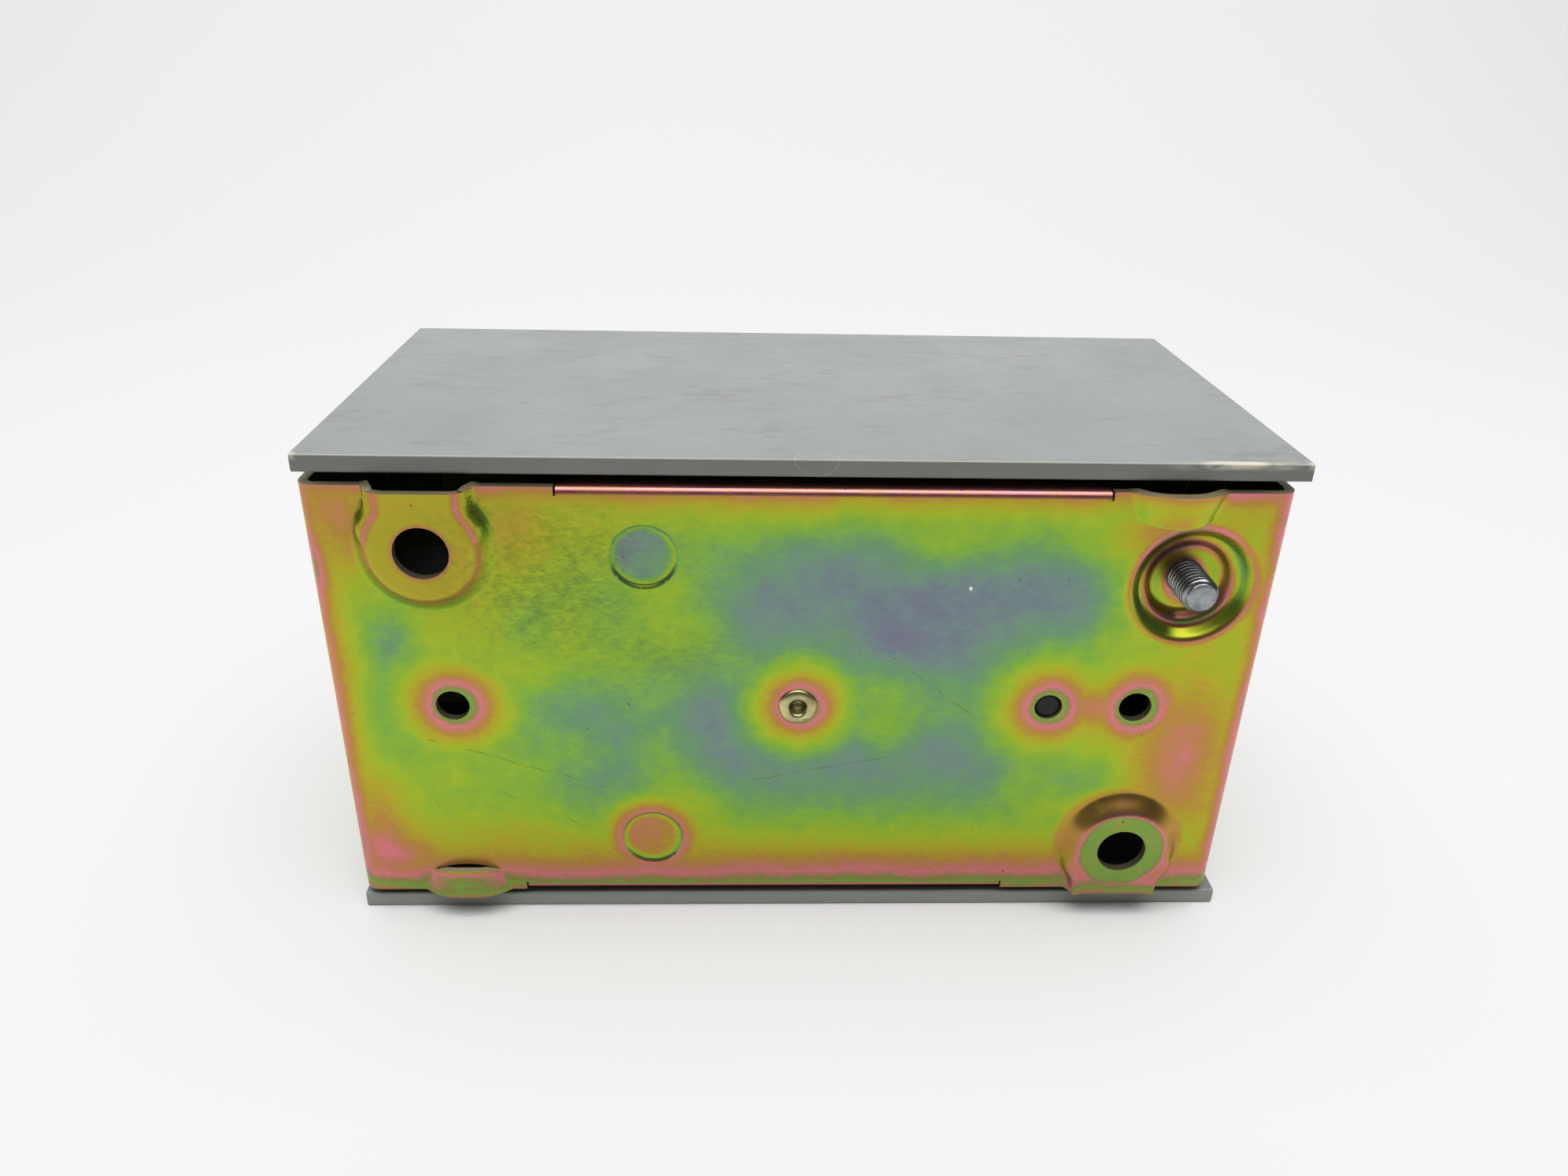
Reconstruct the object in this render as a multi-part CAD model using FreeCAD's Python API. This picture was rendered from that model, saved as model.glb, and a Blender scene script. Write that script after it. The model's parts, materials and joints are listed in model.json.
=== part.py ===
"""A small two-circuit breaker enclosure, lying on one long side of its cover.

A plated sheet-steel pan carries a moulded interior with two plug-on breakers, and a grey U-shaped
cover slides over it. +X runs along the box (from the line end to the load end), +Y from the wall side
to the front, +Z up. The origin is the middle of the side that the box lies on. Lengths are in millimetres.
"""

import math
import os

import FreeCAD
import Part

V = FreeCAD.Vector

# --- Cover -------------------------------------------------------------------------------------
COVER_LENGTH = 127.0
COVER_HEIGHT = 70.8
COVER_DEPTH = 64.4
COVER_WALL = 2.4
COVER_EDGE_R = 0.35
COVER_CORNER_R = 0.9
RIB_HEIGHT = 0.9
RIB_WIDTH = 2.0
RIB_X = 26.0
RIB_BACK_Y = 6.0
WINDOW_GAP = 1.0
COVER_HOLE_GAP = 0.9
# The cover's clearance lets it sit this far to one side of the pan.
CHASSIS_X = -0.6

# --- Sheet-steel pan ---------------------------------------------------------------------------
SHEET = 1.2
EAR_GAP = 0.4
PAN_LENGTH = 125.4
PAN_HEIGHT = 63.4
PAN_BACK_Y = -0.65
PAN_BEND_R = 2.2
MID_Z = COVER_HEIGHT / 2
PAN_HALF = PAN_HEIGHT / 2
PAN_END_X = PAN_LENGTH / 2
EAR_REACH = 12.5
EAR_WIDTH = 22.0
EAR_CORNER_R = 3.0
EAR_SCREW_X = 56.0
EAR_HOLE_GAP = 0.07
PAN_FRONT_Y = COVER_DEPTH - COVER_WALL - EAR_GAP
LIP_DEPTH = 8.0
LIP_FROM_X = -30.9
LIP_TO_X = 38.8
LIP_BEND_R = 1.0

PAD_X = 47.7
PAD_Z = 23.4
PAD_R = 9.0
PAD_TOP_R = 7.1
PAD_RISE = 2.0
PAD_HOLE_R = 3.5
NECK_HALF = 6.6
NECK_TOP_HALF = 4.2
EDGE_DRAW_IN = 0.4
BUMP_LENGTH = 4.0
BUMP_SLIT_RISE = 1.3
SLIT_HALF = 5.2
SLIT_HEIGHT = 1.0

DISC_X = -20.3
DISC_Z = 22.3
DISC_R = 4.3
DISC_SINK = 0.35

SPARE_HOLE_X = 46.6
SPARE_HOLE_R = 2.25
PIN_X = 34.5
PIN_HOLE_R = 1.9

KNOCKOUT_R = 11.1
KNOCKOUT_GROOVE = 0.25
KNOCKOUT_TIE = 3.0
KNOCKOUT_Y = 22.0
KNOCKOUT_Z = 15.0

# --- Ground screw in its stepped dish ------------------------------------------------------------
DISH_X = 51.3
DISH_Z = 18.6
DISH_R = 8.2
DISH_STEP_R = 6.5
DISH_LIP_R = 6.2
DISH_FLOOR_R = 4.8
DISH_STEP = 1.6
DISH_DEPTH = 2.9
GROUND_THREAD_R = 2.41
GROUND_TIP_R = 1.9
GROUND_TIP_OUT = 3.4
CUP_R = 5.4
CUP_HEIGHT = 2.2
SCREW_HEAD_R = 4.7
SCREW_HEAD_HEIGHT = 2.8
SLOT_WIDTH = 1.2
SLOT_DEPTH = 1.3

# --- Rivet -----------------------------------------------------------------------------------------
RIVET_SHANK_R = 1.6
RIVET_FLARE_R = 2.65
RIVET_FLARE = 0.5
RIVET_HEAD_R = 3.4
RIVET_HEAD = 1.2
RIVET_BORE_R = 1.15
RIVET_BORE = 1.4

# --- Moulded interior ------------------------------------------------------------------------------
BASE_Y0 = PAN_BACK_Y + SHEET + 0.05
BASE_Y1 = 8.2
BASE_X0 = -44.2
BASE_X1 = 41.0
BASE_HALF = 17.5
BASE_RIVET_SEAT_Y = 4.2
PIN_R = 1.72
PIN_BACK_Y = PAN_BACK_Y + 0.3
SHELF_X1 = 58.5
COLUMN_X1 = 44.0
COLUMN_HALF = 9.0
SHELF_Y = 9.4
SHELF_THICK = 3.0
SHELF_HALF = 14.5

STRAP_THICK = 1.5
STRAP_HALF = 4.6
STAB_X = -26.0
STAB_TOP_Y = 22.0
STRAP_END_X = -57.0
BUS_SCREW_R = 1.65
BUS_HEAD_R = 2.9
BUS_HEAD = 1.9
BUS_SCREW_X = -41.8
BUS_SCREW_END = BASE_Y1 - 4.0
LUG_X0 = -56.5
LUG_X1 = -46.5
LUG_HALF = 4.5
LUG_HEIGHT = 11.0
LUG_WIRE_R = 2.8
LUG_SCREW_R = 2.4

BAR_X0 = 49.5
BAR_X1 = 57.5
BAR_HALF = 14.0
BAR_HEIGHT = 8.0
BAR_SCREWS = 4

RAIL_X = 38.6
RAIL_THICK = 1.2
RAIL_HALF = 22.0
RAIL_TOP_Y = 16.6
RAIL_LIP_Y = 14.0
RAIL_LIP_REACH = 3.6

# --- Plug-on breaker -------------------------------------------------------------------------------
POLE_PITCH = 25.6
POLE_WIDTH = 25.2
STRAP_OFFSET = 9.6
CASE_X = 38.0
CASE_BACK_Y = 9.8
CASE_STEP_Y = 44.0
CASE_STEP_X = 27.0
SHOULDER_Y = 57.6
NOSE_Y = 66.4
NOSE_X = 22.0
CASE_WALL = 1.6
HANDLE_Y = 52.0
BARREL_R = 17.0
BARREL_GAP = 0.3
BARREL_SPAN = 50.0
HANDLE_TIP_R = 25.5
HANDLE_HALF = 3.9
HUB_R = 4.4
HUB_HALF = 4.2
HANDLE_SWING = 32.0
AXLE_R = 2.0
AXLE_GAP = 0.06
ARM_PIVOT_X = 3.0
ARM_PIVOT_Y = 42.0
ARM_PIN_R = 1.25
ARM_SWING = 15.0
CONTACT_X = -13.0
CONTACT_TOP_Y = 24.6
CASE_EDGE_R = 0.6
CASE_BOSS_R = 3.0
CASE_RIVET_R = 1.6
WIRE_HOLE_R = 3.8
WIRE_HOLE_Y = 36.5
LOAD_SCREW_X = 32.5
LOAD_HEAD_R = 3.0
CASE_RIVETS = ((-33.5, 46.0), (-17.5, 53.0), (33.5, 24.5), (19.5, 53.0))

# The origin is half way through the cover's depth.
ORIGIN_Y = COVER_DEPTH / 2


def box(x0, x1, y0, y1, z0, z1):
    """A block between two values on each axis."""
    return Part.makeBox(x1 - x0, y1 - y0, z1 - z0, V(x0, y0, z0))


def rod_y(radius, x, z, y0, y1):
    """A cylinder along Y."""
    return Part.makeCylinder(radius, y1 - y0, V(x, y0, z), V(0, 1, 0))


def rod_z(radius, x, y, z0, z1):
    """A cylinder along Z."""
    return Part.makeCylinder(radius, z1 - z0, V(x, y, z0), V(0, 0, 1))


def rod_x(radius, y, z, x0, x1):
    """A cylinder along X."""
    return Part.makeCylinder(radius, x1 - x0, V(x0, y, z), V(1, 0, 0))


def outline_z(points, z0, z1):
    """An (x, y) outline carried along Z."""
    wire = Part.makePolygon([V(x, y, z0) for x, y in points] + [V(*points[0], z0)])
    return Part.Face(wire).extrude(V(0, 0, z1 - z0))


def spin_y(profile, x, z):
    """A (radius, y) profile turned about an axis along Y."""
    points = [V(x + r, y, z) for r, y in profile]
    return Part.Face(Part.makePolygon(points + points[:1])).revolve(V(x, 0, z), V(0, 1, 0), 360)


def half_turn(shape):
    """The shape turned half a turn about the pan's middle, looking from the back."""
    copy = shape.copy()
    copy.rotate(V(0, 0, MID_Z), V(0, 1, 0), 180)
    return copy


def join(shapes):
    """All the shapes as one, with the seams between flush faces taken out."""
    first, *others = shapes
    return (first.fuse(others) if others else first).removeSplitter()


def slotted_screw(x, z, head_y, head_r, head_h, shank_r, end_y):
    """A slotted pan-head screw that points to -Y, with its head standing on head_y."""
    top = head_y + head_h
    head = rod_y(head_r, x, z, head_y, top)
    rim = [e for e in head.Edges if e.BoundBox.YMin > top - 0.01 and e.BoundBox.XLength > head_r]
    head = head.makeFillet(head_h * 0.4, rim)
    slot = box(x - head_r, x + head_r, top - SLOT_DEPTH, top + 1, z - SLOT_WIDTH / 2, z + SLOT_WIDTH / 2)
    shank = rod_y(shank_r, x, z, end_y, head_y)
    tip = [e for e in shank.Edges if e.BoundBox.YMax < end_y + 0.01]
    return head.cut(slot).fuse(shank.makeChamfer(shank_r * 0.2, tip)).removeSplitter()


# --- Pan -------------------------------------------------------------------------------------------


def neck(rise_at_edge, rise_inside, edge_z, inside_z, drop):
    """The raised strip that meets a long edge of the pan, as a loft between two trapezoids."""

    def trapezoid(rise, z):
        low = PAN_BACK_Y + drop
        top = [(-NECK_TOP_HALF, low - rise), (NECK_TOP_HALF, low - rise)]
        deep = [(NECK_HALF, low), (NECK_HALF, low + SHEET), (-NECK_HALF, low + SHEET), (-NECK_HALF, low)]
        corners = [V(x, y, z) for x, y in top + deep]
        return Part.makePolygon(corners + corners[:1])

    return Part.makeLoft([trapezoid(rise_at_edge, edge_z), trapezoid(rise_inside, inside_z)], True, True)


def mounting_pad(drop):
    """The round pad around a wall-screw hole, with its neck, at (0, 0); drop moves it inwards."""
    low = PAN_BACK_Y + drop
    skirt = [(0, low + SHEET), (PAD_R, low + SHEET), (PAD_R, low)]
    crown = [(PAD_TOP_R, low - PAD_RISE), (0, low - PAD_RISE)]
    return spin_y(skirt + crown, 0, 0).fuse(neck(PAD_RISE, PAD_RISE, PAN_HALF - PAD_Z, 0, drop))


def dish(drop):
    """The stepped dish around the ground screw, as the space it takes out of the sheet."""
    low = PAN_BACK_Y + drop
    steps = [(DISH_R, low), (DISH_STEP_R, low + DISH_STEP), (DISH_LIP_R, low + DISH_STEP)]
    floor = [(DISH_FLOOR_R, low + DISH_DEPTH), (0, low + DISH_DEPTH)]
    return spin_y([(0, low - 1), (DISH_R, low - 1)] + steps + floor, DISH_X, MID_Z + DISH_Z)


def moved(shape, x, z):
    """A shape made at (0, 0), put at x and z above the pan's middle."""
    copy = shape.copy()
    copy.translate(V(x, 0, MID_Z + z))
    return copy


def knockout_groove(side_x, z):
    """The broken ring cut round one knockout in an end wall, which leaves two ties."""
    x0, x1 = side_x - 2 * SHEET, side_x + 2 * SHEET
    disc = rod_x(KNOCKOUT_R - KNOCKOUT_GROOVE, KNOCKOUT_Y, z, x0, x1)
    y0, y1 = KNOCKOUT_Y - KNOCKOUT_R - 1, KNOCKOUT_Y + KNOCKOUT_R + 1
    tie = box(x0, x1, y0, y1, z - KNOCKOUT_TIE / 2, z + KNOCKOUT_TIE / 2)
    return rod_x(KNOCKOUT_R, KNOCKOUT_Y, z, x0, x1).cut([disc, tie])


def pan_holes():
    """Every round hole through the pan's back: x, z above the middle, and radius."""
    holes = [(-PAD_X, PAD_Z, PAD_HOLE_R), (PAD_X, -PAD_Z, PAD_HOLE_R)]
    holes += [(x, 0, SPARE_HOLE_R) for x in (-SPARE_HOLE_X, SPARE_HOLE_X)]
    return holes + [(PIN_X, 0, PIN_HOLE_R), (0, 0, RIVET_SHANK_R), (DISH_X, DISH_Z, GROUND_THREAD_R)]


def cover_screw_ear():
    """The ear at the end wall's front that takes a cover screw, with its free corners rounded."""
    y1, x0 = PAN_FRONT_Y, PAN_END_X - EAR_REACH
    ear = box(x0, PAN_END_X, y1 - SHEET, y1, MID_Z - EAR_WIDTH / 2, MID_Z + EAR_WIDTH / 2)
    free = [e for e in ear.Edges if e.BoundBox.XMax < x0 + 0.01 and e.BoundBox.YLength > 1]
    return ear.makeFillet(EAR_CORNER_R, free)


def bent_tray():
    """The back and both end walls as one bent sheet."""
    inner_y = PAN_BACK_Y + SHEET
    low, high = MID_Z - PAN_HALF, MID_Z + PAN_HALF
    tray = box(-PAN_END_X, PAN_END_X, PAN_BACK_Y, PAN_FRONT_Y, low, high)
    hollow = box(-PAN_END_X + SHEET, PAN_END_X - SHEET, inner_y, PAN_FRONT_Y + 1, low - 1, high + 1)
    bends = []
    for shape, back_y, radius in ((tray, PAN_BACK_Y, PAN_BEND_R), (hollow, inner_y, PAN_BEND_R - SHEET)):
        edges = [e for e in shape.Edges if e.BoundBox.YMax < back_y + 0.01 and e.BoundBox.ZLength > PAN_HALF]
        bends.append(shape.makeFillet(radius, edges))
    return bends[0].cut(bends[1])


def base_pan():
    """Back, end walls with knockouts, screw ears and long-edge lips, with every embossing."""
    inner_y, high = PAN_BACK_Y + SHEET, MID_Z + PAN_HALF
    ear = cover_screw_ear()
    lip = box(LIP_FROM_X, LIP_TO_X, PAN_BACK_Y, PAN_BACK_Y + LIP_DEPTH, high - SHEET, high)
    bump_in = PAN_HALF - BUMP_LENGTH
    pads, hollows = [], []
    for drop, shapes in ((0, pads), (SHEET, hollows)):
        shapes.append(moved(mounting_pad(drop), -PAD_X, PAD_Z))
        shapes.append(moved(neck(PAD_RISE, BUMP_SLIT_RISE, PAN_HALF, bump_in, drop), PAD_X, 0))
        shapes += [half_turn(shape) for shape in shapes]
    discs = [moved(rod_y(DISC_R, 0, 0, inner_y, inner_y + DISC_SINK), DISC_X, z) for z in (DISC_Z, -DISC_Z)]
    dish_room = box(0, PAN_END_X, PAN_BACK_Y, PAN_BACK_Y + 9, MID_Z - PAN_HALF, high)
    skin = dish(SHEET).common(dish_room)
    pan = bent_tray().fuse([ear, half_turn(ear), lip, half_turn(lip), *pads, *discs, skin])

    slit_z = MID_Z + bump_in
    x0, x1 = PAD_X - SLIT_HALF, PAD_X + SLIT_HALF
    edge_cuts = [box(x0, x1, PAN_BACK_Y - 3, inner_y + 1, slit_z - SLIT_HEIGHT, slit_z)]
    for x in (-PAD_X, PAD_X):
        x0, x1 = x - NECK_TOP_HALF, x + NECK_TOP_HALF
        edge_cuts.append(box(x0, x1, PAN_BACK_Y - 3, inner_y, high - EDGE_DRAW_IN, high + 1))
    cuts = hollows + edge_cuts + [half_turn(shape) for shape in edge_cuts] + [dish(0)]
    for z in (DISC_Z, -DISC_Z):
        cuts.append(moved(rod_y(DISC_R, 0, 0, PAN_BACK_Y - 1, PAN_BACK_Y + DISC_SINK), DISC_X, z))
    cuts += [moved(rod_y(r, 0, 0, PAN_BACK_Y - 4, PAN_BACK_Y + 8), x, z) for x, z, r in pan_holes()]
    for side in (-1, 1):
        x, r = side * EAR_SCREW_X, COVER_SCREW_R + EAR_HOLE_GAP
        cuts.append(rod_y(r, x, MID_Z, PAN_FRONT_Y - 3, PAN_FRONT_Y + 3))
        cuts += [knockout_groove(side * PAN_END_X, MID_Z + z) for z in (-KNOCKOUT_Z, KNOCKOUT_Z)]
    return pan.cut(cuts).removeSplitter()


# --- Cover -----------------------------------------------------------------------------------------
COVER_SCREW_R = 2.08
COVER_SCREW_HEAD_R = 3.9
COVER_SCREW_HEAD = 2.2
WINDOW_X = NOSE_X + WINDOW_GAP
WINDOW_HALF = POLE_PITCH / 2 + POLE_WIDTH / 2 + WINDOW_GAP
LABEL_X0 = 29.0
LABEL_X1 = 48.0
LABEL_HALF = 24.0
LABEL_THICK = 0.15


def cover():
    """The U-shaped moulding: front with the breakers' window, and two long sides with guide ribs."""
    half = COVER_LENGTH / 2
    shell = box(-half, half, 0, COVER_DEPTH, 0, COVER_HEIGHT)
    front = [e for e in shell.Edges if e.BoundBox.YMin > COVER_DEPTH - 0.01]
    shell = shell.makeFillet(COVER_CORNER_R, front)
    inner_y, inner_z = COVER_DEPTH - COVER_WALL, COVER_HEIGHT - COVER_WALL
    shell = shell.cut(box(-half - 1, half + 1, -1, inner_y, COVER_WALL, inner_z))
    back = [e for e in shell.Edges if e.BoundBox.YMax < 0.01 and e.BoundBox.XLength > half]
    shell = shell.makeFillet(COVER_EDGE_R, back)
    ribs = []
    for x in (-RIB_X, RIB_X):
        x0, x1 = x - RIB_WIDTH / 2, x + RIB_WIDTH / 2
        for z0 in (COVER_WALL - 0.2, inner_z - RIB_HEIGHT):
            ribs.append(box(x0, x1, RIB_BACK_Y, inner_y + 0.2, z0, z0 + RIB_HEIGHT + 0.2))
    window = box(-WINDOW_X, WINDOW_X, 50, COVER_DEPTH + 1, MID_Z - WINDOW_HALF, MID_Z + WINDOW_HALF)
    hole_r = COVER_SCREW_R + COVER_HOLE_GAP
    holes = [rod_y(hole_r, x, MID_Z, 50, COVER_DEPTH + 1) for x in (-EAR_SCREW_X, EAR_SCREW_X)]
    return shell.fuse(ribs).cut([window, *holes]).removeSplitter()


def cover_screws():
    """The two screws that hold the cover to the pan's ears."""
    sizes = (COVER_SCREW_HEAD_R, COVER_SCREW_HEAD, COVER_SCREW_R, COVER_DEPTH - 9.0)
    xs = (-EAR_SCREW_X, EAR_SCREW_X)
    return Part.makeCompound([slotted_screw(x, MID_Z, COVER_DEPTH, *sizes) for x in xs])


def circuit_label():
    """The blank directory label on the cover's front."""
    y1 = COVER_DEPTH + LABEL_THICK
    return box(LABEL_X0, LABEL_X1, COVER_DEPTH, y1, MID_Z - LABEL_HALF, MID_Z + LABEL_HALF)


# --- Ground screw and rivet --------------------------------------------------------------------------


def ground_floor_y():
    """The inner face of the dish's floor."""
    return PAN_BACK_Y + DISH_DEPTH + SHEET


def ground_screw():
    """The slotted ground screw, whose tip stands out at the back."""
    head_y = ground_floor_y() + CUP_HEIGHT * 0.5
    x, z, end = DISH_X, MID_Z + DISH_Z, PAN_BACK_Y - GROUND_TIP_OUT
    screw = slotted_screw(x, z, head_y, SCREW_HEAD_R, SCREW_HEAD_HEIGHT, GROUND_THREAD_R, end + 0.4)
    tip = Part.makeCone(GROUND_TIP_R, GROUND_THREAD_R, 0.9, V(x, end, z), V(0, 1, 0))
    return screw.fuse(tip).removeSplitter()


def ground_cup_washer():
    """The cup washer that holds the ground wire under the screw's head."""
    y0 = ground_floor_y()
    y1 = y0 + CUP_HEIGHT * 0.5
    bore = GROUND_THREAD_R + 0.15
    top, inner = y0 + CUP_HEIGHT, CUP_R - 0.6
    profile = [(bore, y0), (CUP_R, y0), (CUP_R, top), (inner, top), (inner, y1), (bore, y1)]
    return spin_y(profile, DISH_X, MID_Z + DISH_Z)


def centre_rivet():
    """The tubular rivet that holds the interior: head in front, rolled flare at the back."""
    back, seat = PAN_BACK_Y, BASE_RIVET_SEAT_Y
    flare = [(RIVET_SHANK_R, back), (RIVET_FLARE_R, back), (RIVET_FLARE_R - 0.3, back - RIVET_FLARE)]
    bore = [(RIVET_BORE_R, back - RIVET_FLARE), (RIVET_BORE_R, back + RIVET_BORE)]
    bore.append((0, back + RIVET_BORE + 0.5))
    head = [(0, seat + RIVET_HEAD), (RIVET_HEAD_R - 0.8, seat + RIVET_HEAD)]
    head += [(RIVET_HEAD_R, seat), (RIVET_SHANK_R, seat)]
    return spin_y(flare + bore + head, 0, MID_Z)


# --- Interior ----------------------------------------------------------------------------------------


def interior_base():
    """The moulded base with its locating pin, bus channels and the neutral bar's shelf."""
    slab = box(BASE_X0, BASE_X1, BASE_Y0, BASE_Y1, MID_Z - BASE_HALF, MID_Z + BASE_HALF)
    slab = slab.makeFillet(2.0, [e for e in slab.Edges if e.BoundBox.YLength > 5])
    shelf = box(BASE_X1, SHELF_X1, SHELF_Y, SHELF_Y + SHELF_THICK, MID_Z - SHELF_HALF, MID_Z + SHELF_HALF)
    web = box(BASE_X1 - 1, COLUMN_X1, BASE_Y0, BASE_Y1, MID_Z - COLUMN_HALF, MID_Z + COLUMN_HALF)
    column = box(BASE_X1, COLUMN_X1, BASE_Y0, SHELF_Y + 1, MID_Z - COLUMN_HALF, MID_Z + COLUMN_HALF)
    pin = rod_y(PIN_R, PIN_X, MID_Z, PIN_BACK_Y, BASE_Y0 + 1)
    pin = pin.makeChamfer(0.25, [e for e in pin.Edges if e.BoundBox.YMax < PIN_BACK_Y + 0.01])
    barrier = box(STAB_X - 10, STAB_X + 8, BASE_Y1 - 0.5, BASE_Y1 + 1.2, MID_Z - 0.8, MID_Z + 0.8)
    body = slab.fuse([shelf, web, column, pin, barrier])
    seat = rod_y(RIVET_HEAD_R + 0.3, 0, MID_Z, BASE_RIVET_SEAT_Y, BASE_Y1 + 1)
    hole = rod_y(RIVET_SHANK_R, 0, MID_Z, PAN_BACK_Y, BASE_Y1)
    pockets = []
    for x0, x1 in ((-18, -6), (8, 20), (24, 32)):
        for side in (-1, 1):
            z = MID_Z + side * 10
            pockets.append(box(x0, x1, BASE_Y0 + 2.4, BASE_Y1 + 1, z - 5, z + 5))
    zs = [MID_Z + side * STRAP_OFFSET for side in (-1, 1)]
    threads = [rod_y(BUS_SCREW_R, BUS_SCREW_X, z, BUS_SCREW_END, BASE_Y1 + 1) for z in zs]
    return body.cut([seat, hole, *pockets, *threads]).removeSplitter()


def line_bus(side):
    """A tinned strap from a line lug to the stab that a breaker plugs on."""
    z = MID_Z + side * STRAP_OFFSET
    strap = box(STRAP_END_X, STAB_X + 0.75, BASE_Y1, BASE_Y1 + STRAP_THICK, z - STRAP_HALF, z + STRAP_HALF)
    stab = box(STAB_X - 0.75, STAB_X + 0.75, BASE_Y1, STAB_TOP_Y, z - STRAP_HALF, z + STRAP_HALF)
    top = [e for e in stab.Edges if e.BoundBox.YMin > STAB_TOP_Y - 0.01 and e.BoundBox.ZLength > 5]
    stab = stab.makeChamfer(0.5, top)
    return strap.fuse(stab).cut(rod_y(BUS_SCREW_R + 0.05, BUS_SCREW_X, z, 0, 15)).removeSplitter()


def bus_screws():
    """The screws that hold the straps down on the base."""
    y = BASE_Y1 + STRAP_THICK
    zs = [MID_Z + side * STRAP_OFFSET for side in (-1, 1)]
    sizes = (BUS_HEAD_R, BUS_HEAD, BUS_SCREW_R, BUS_SCREW_END)
    return Part.makeCompound([slotted_screw(BUS_SCREW_X, z, y, *sizes) for z in zs])


def line_lug(side):
    """An aluminium box lug with its wire hole along X and its screw hole towards the front."""
    z, y0 = MID_Z + side * STRAP_OFFSET, BASE_Y1 + STRAP_THICK
    lug = box(LUG_X0, LUG_X1, y0, y0 + LUG_HEIGHT, z - LUG_HALF, z + LUG_HALF)
    lug = lug.makeFillet(0.8, [e for e in lug.Edges if e.BoundBox.YMin > y0 + LUG_HEIGHT - 0.01])
    wire = rod_x(LUG_WIRE_R, y0 + LUG_WIRE_R + 1.2, z, LUG_X0 - 1, LUG_X1 + 1)
    screw = rod_y(LUG_SCREW_R, (LUG_X0 + LUG_X1) / 2, z, y0 + 6, y0 + LUG_HEIGHT + 1)
    return lug.cut([wire, screw])


def line_lug_screws():
    """The lugs' slotted set screws."""
    x, y0, screws = (LUG_X0 + LUG_X1) / 2, BASE_Y1 + STRAP_THICK, []
    for side in (-1, 1):
        z, top = MID_Z + side * STRAP_OFFSET, y0 + LUG_HEIGHT + 2.6
        screw = rod_y(LUG_SCREW_R, x, z, y0 + 6, top)
        slot = box(x - 3, x + 3, top - SLOT_DEPTH, top + 1, z - SLOT_WIDTH / 2, z + SLOT_WIDTH / 2)
        screws.append(screw.makeChamfer(0.3, screw.Edges[:1]).cut(slot))
    return Part.makeCompound(screws)


def bar_screw_zs():
    """Where the neutral bar's wire screws stand, evenly along it."""
    pitch = 2 * BAR_HALF / BAR_SCREWS
    return [MID_Z - BAR_HALF + pitch * (n + 0.5) for n in range(BAR_SCREWS)]


def neutral_bar():
    """The brass neutral bar, with a wire hole through X and a screw hole in front for each screw."""
    x, y0 = (BAR_X0 + BAR_X1) / 2, SHELF_Y + SHELF_THICK
    bar = box(BAR_X0, BAR_X1, y0, y0 + BAR_HEIGHT, MID_Z - BAR_HALF, MID_Z + BAR_HALF)
    bar = bar.makeChamfer(0.4, [e for e in bar.Edges if e.BoundBox.YMin > y0 + BAR_HEIGHT - 0.01])
    cuts = []
    for z in bar_screw_zs():
        cuts.append(rod_x(2.1, y0 + 3.2, z, BAR_X0 - 1, BAR_X1 + 1))
        cuts.append(rod_y(1.9, x, z, y0 + 4, y0 + BAR_HEIGHT + 1))
    return bar.cut(cuts)


def neutral_bar_screws():
    """The neutral bar's wire screws."""
    x, y0 = (BAR_X0 + BAR_X1) / 2, SHELF_Y + SHELF_THICK
    head_y = y0 + BAR_HEIGHT + 1.0
    return Part.makeCompound([slotted_screw(x, z, head_y, 3.0, 2.0, 1.9, y0 + 4.4) for z in bar_screw_zs()])


def hook_rail():
    """The steel rail whose lip the breakers hook under."""
    leg = box(RAIL_X, RAIL_X + RAIL_THICK, BASE_Y1, RAIL_TOP_Y, MID_Z - RAIL_HALF, MID_Z + RAIL_HALF)
    foot = box(RAIL_X - 6, RAIL_X + RAIL_THICK, BASE_Y1, BASE_Y1 + 1.2, MID_Z - 16.5, MID_Z + 16.5)
    lip_y = (RAIL_LIP_Y, RAIL_LIP_Y + RAIL_THICK)
    lip = box(RAIL_X - RAIL_LIP_REACH, RAIL_X + 0.5, *lip_y, MID_Z - RAIL_HALF, MID_Z + RAIL_HALF)
    return leg.fuse([foot, lip]).removeSplitter()


# --- Breakers ----------------------------------------------------------------------------------------


def case_outline(inset):
    """A breaker's outline seen from the side, moved inwards by the inset."""
    x, step_x, nose_x = CASE_X - inset, CASE_STEP_X - inset, NOSE_X - inset
    back, step, shoulder, nose = CASE_BACK_Y + inset, CASE_STEP_Y - inset, SHOULDER_Y - inset, NOSE_Y - inset
    right = [(x, back), (x, step), (step_x, step), (step_x, shoulder), (nose_x, shoulder), (nose_x, nose)]
    return right + [(-nose_x, nose), (-nose_x, shoulder), (-x, shoulder), (-x, back)]


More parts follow.
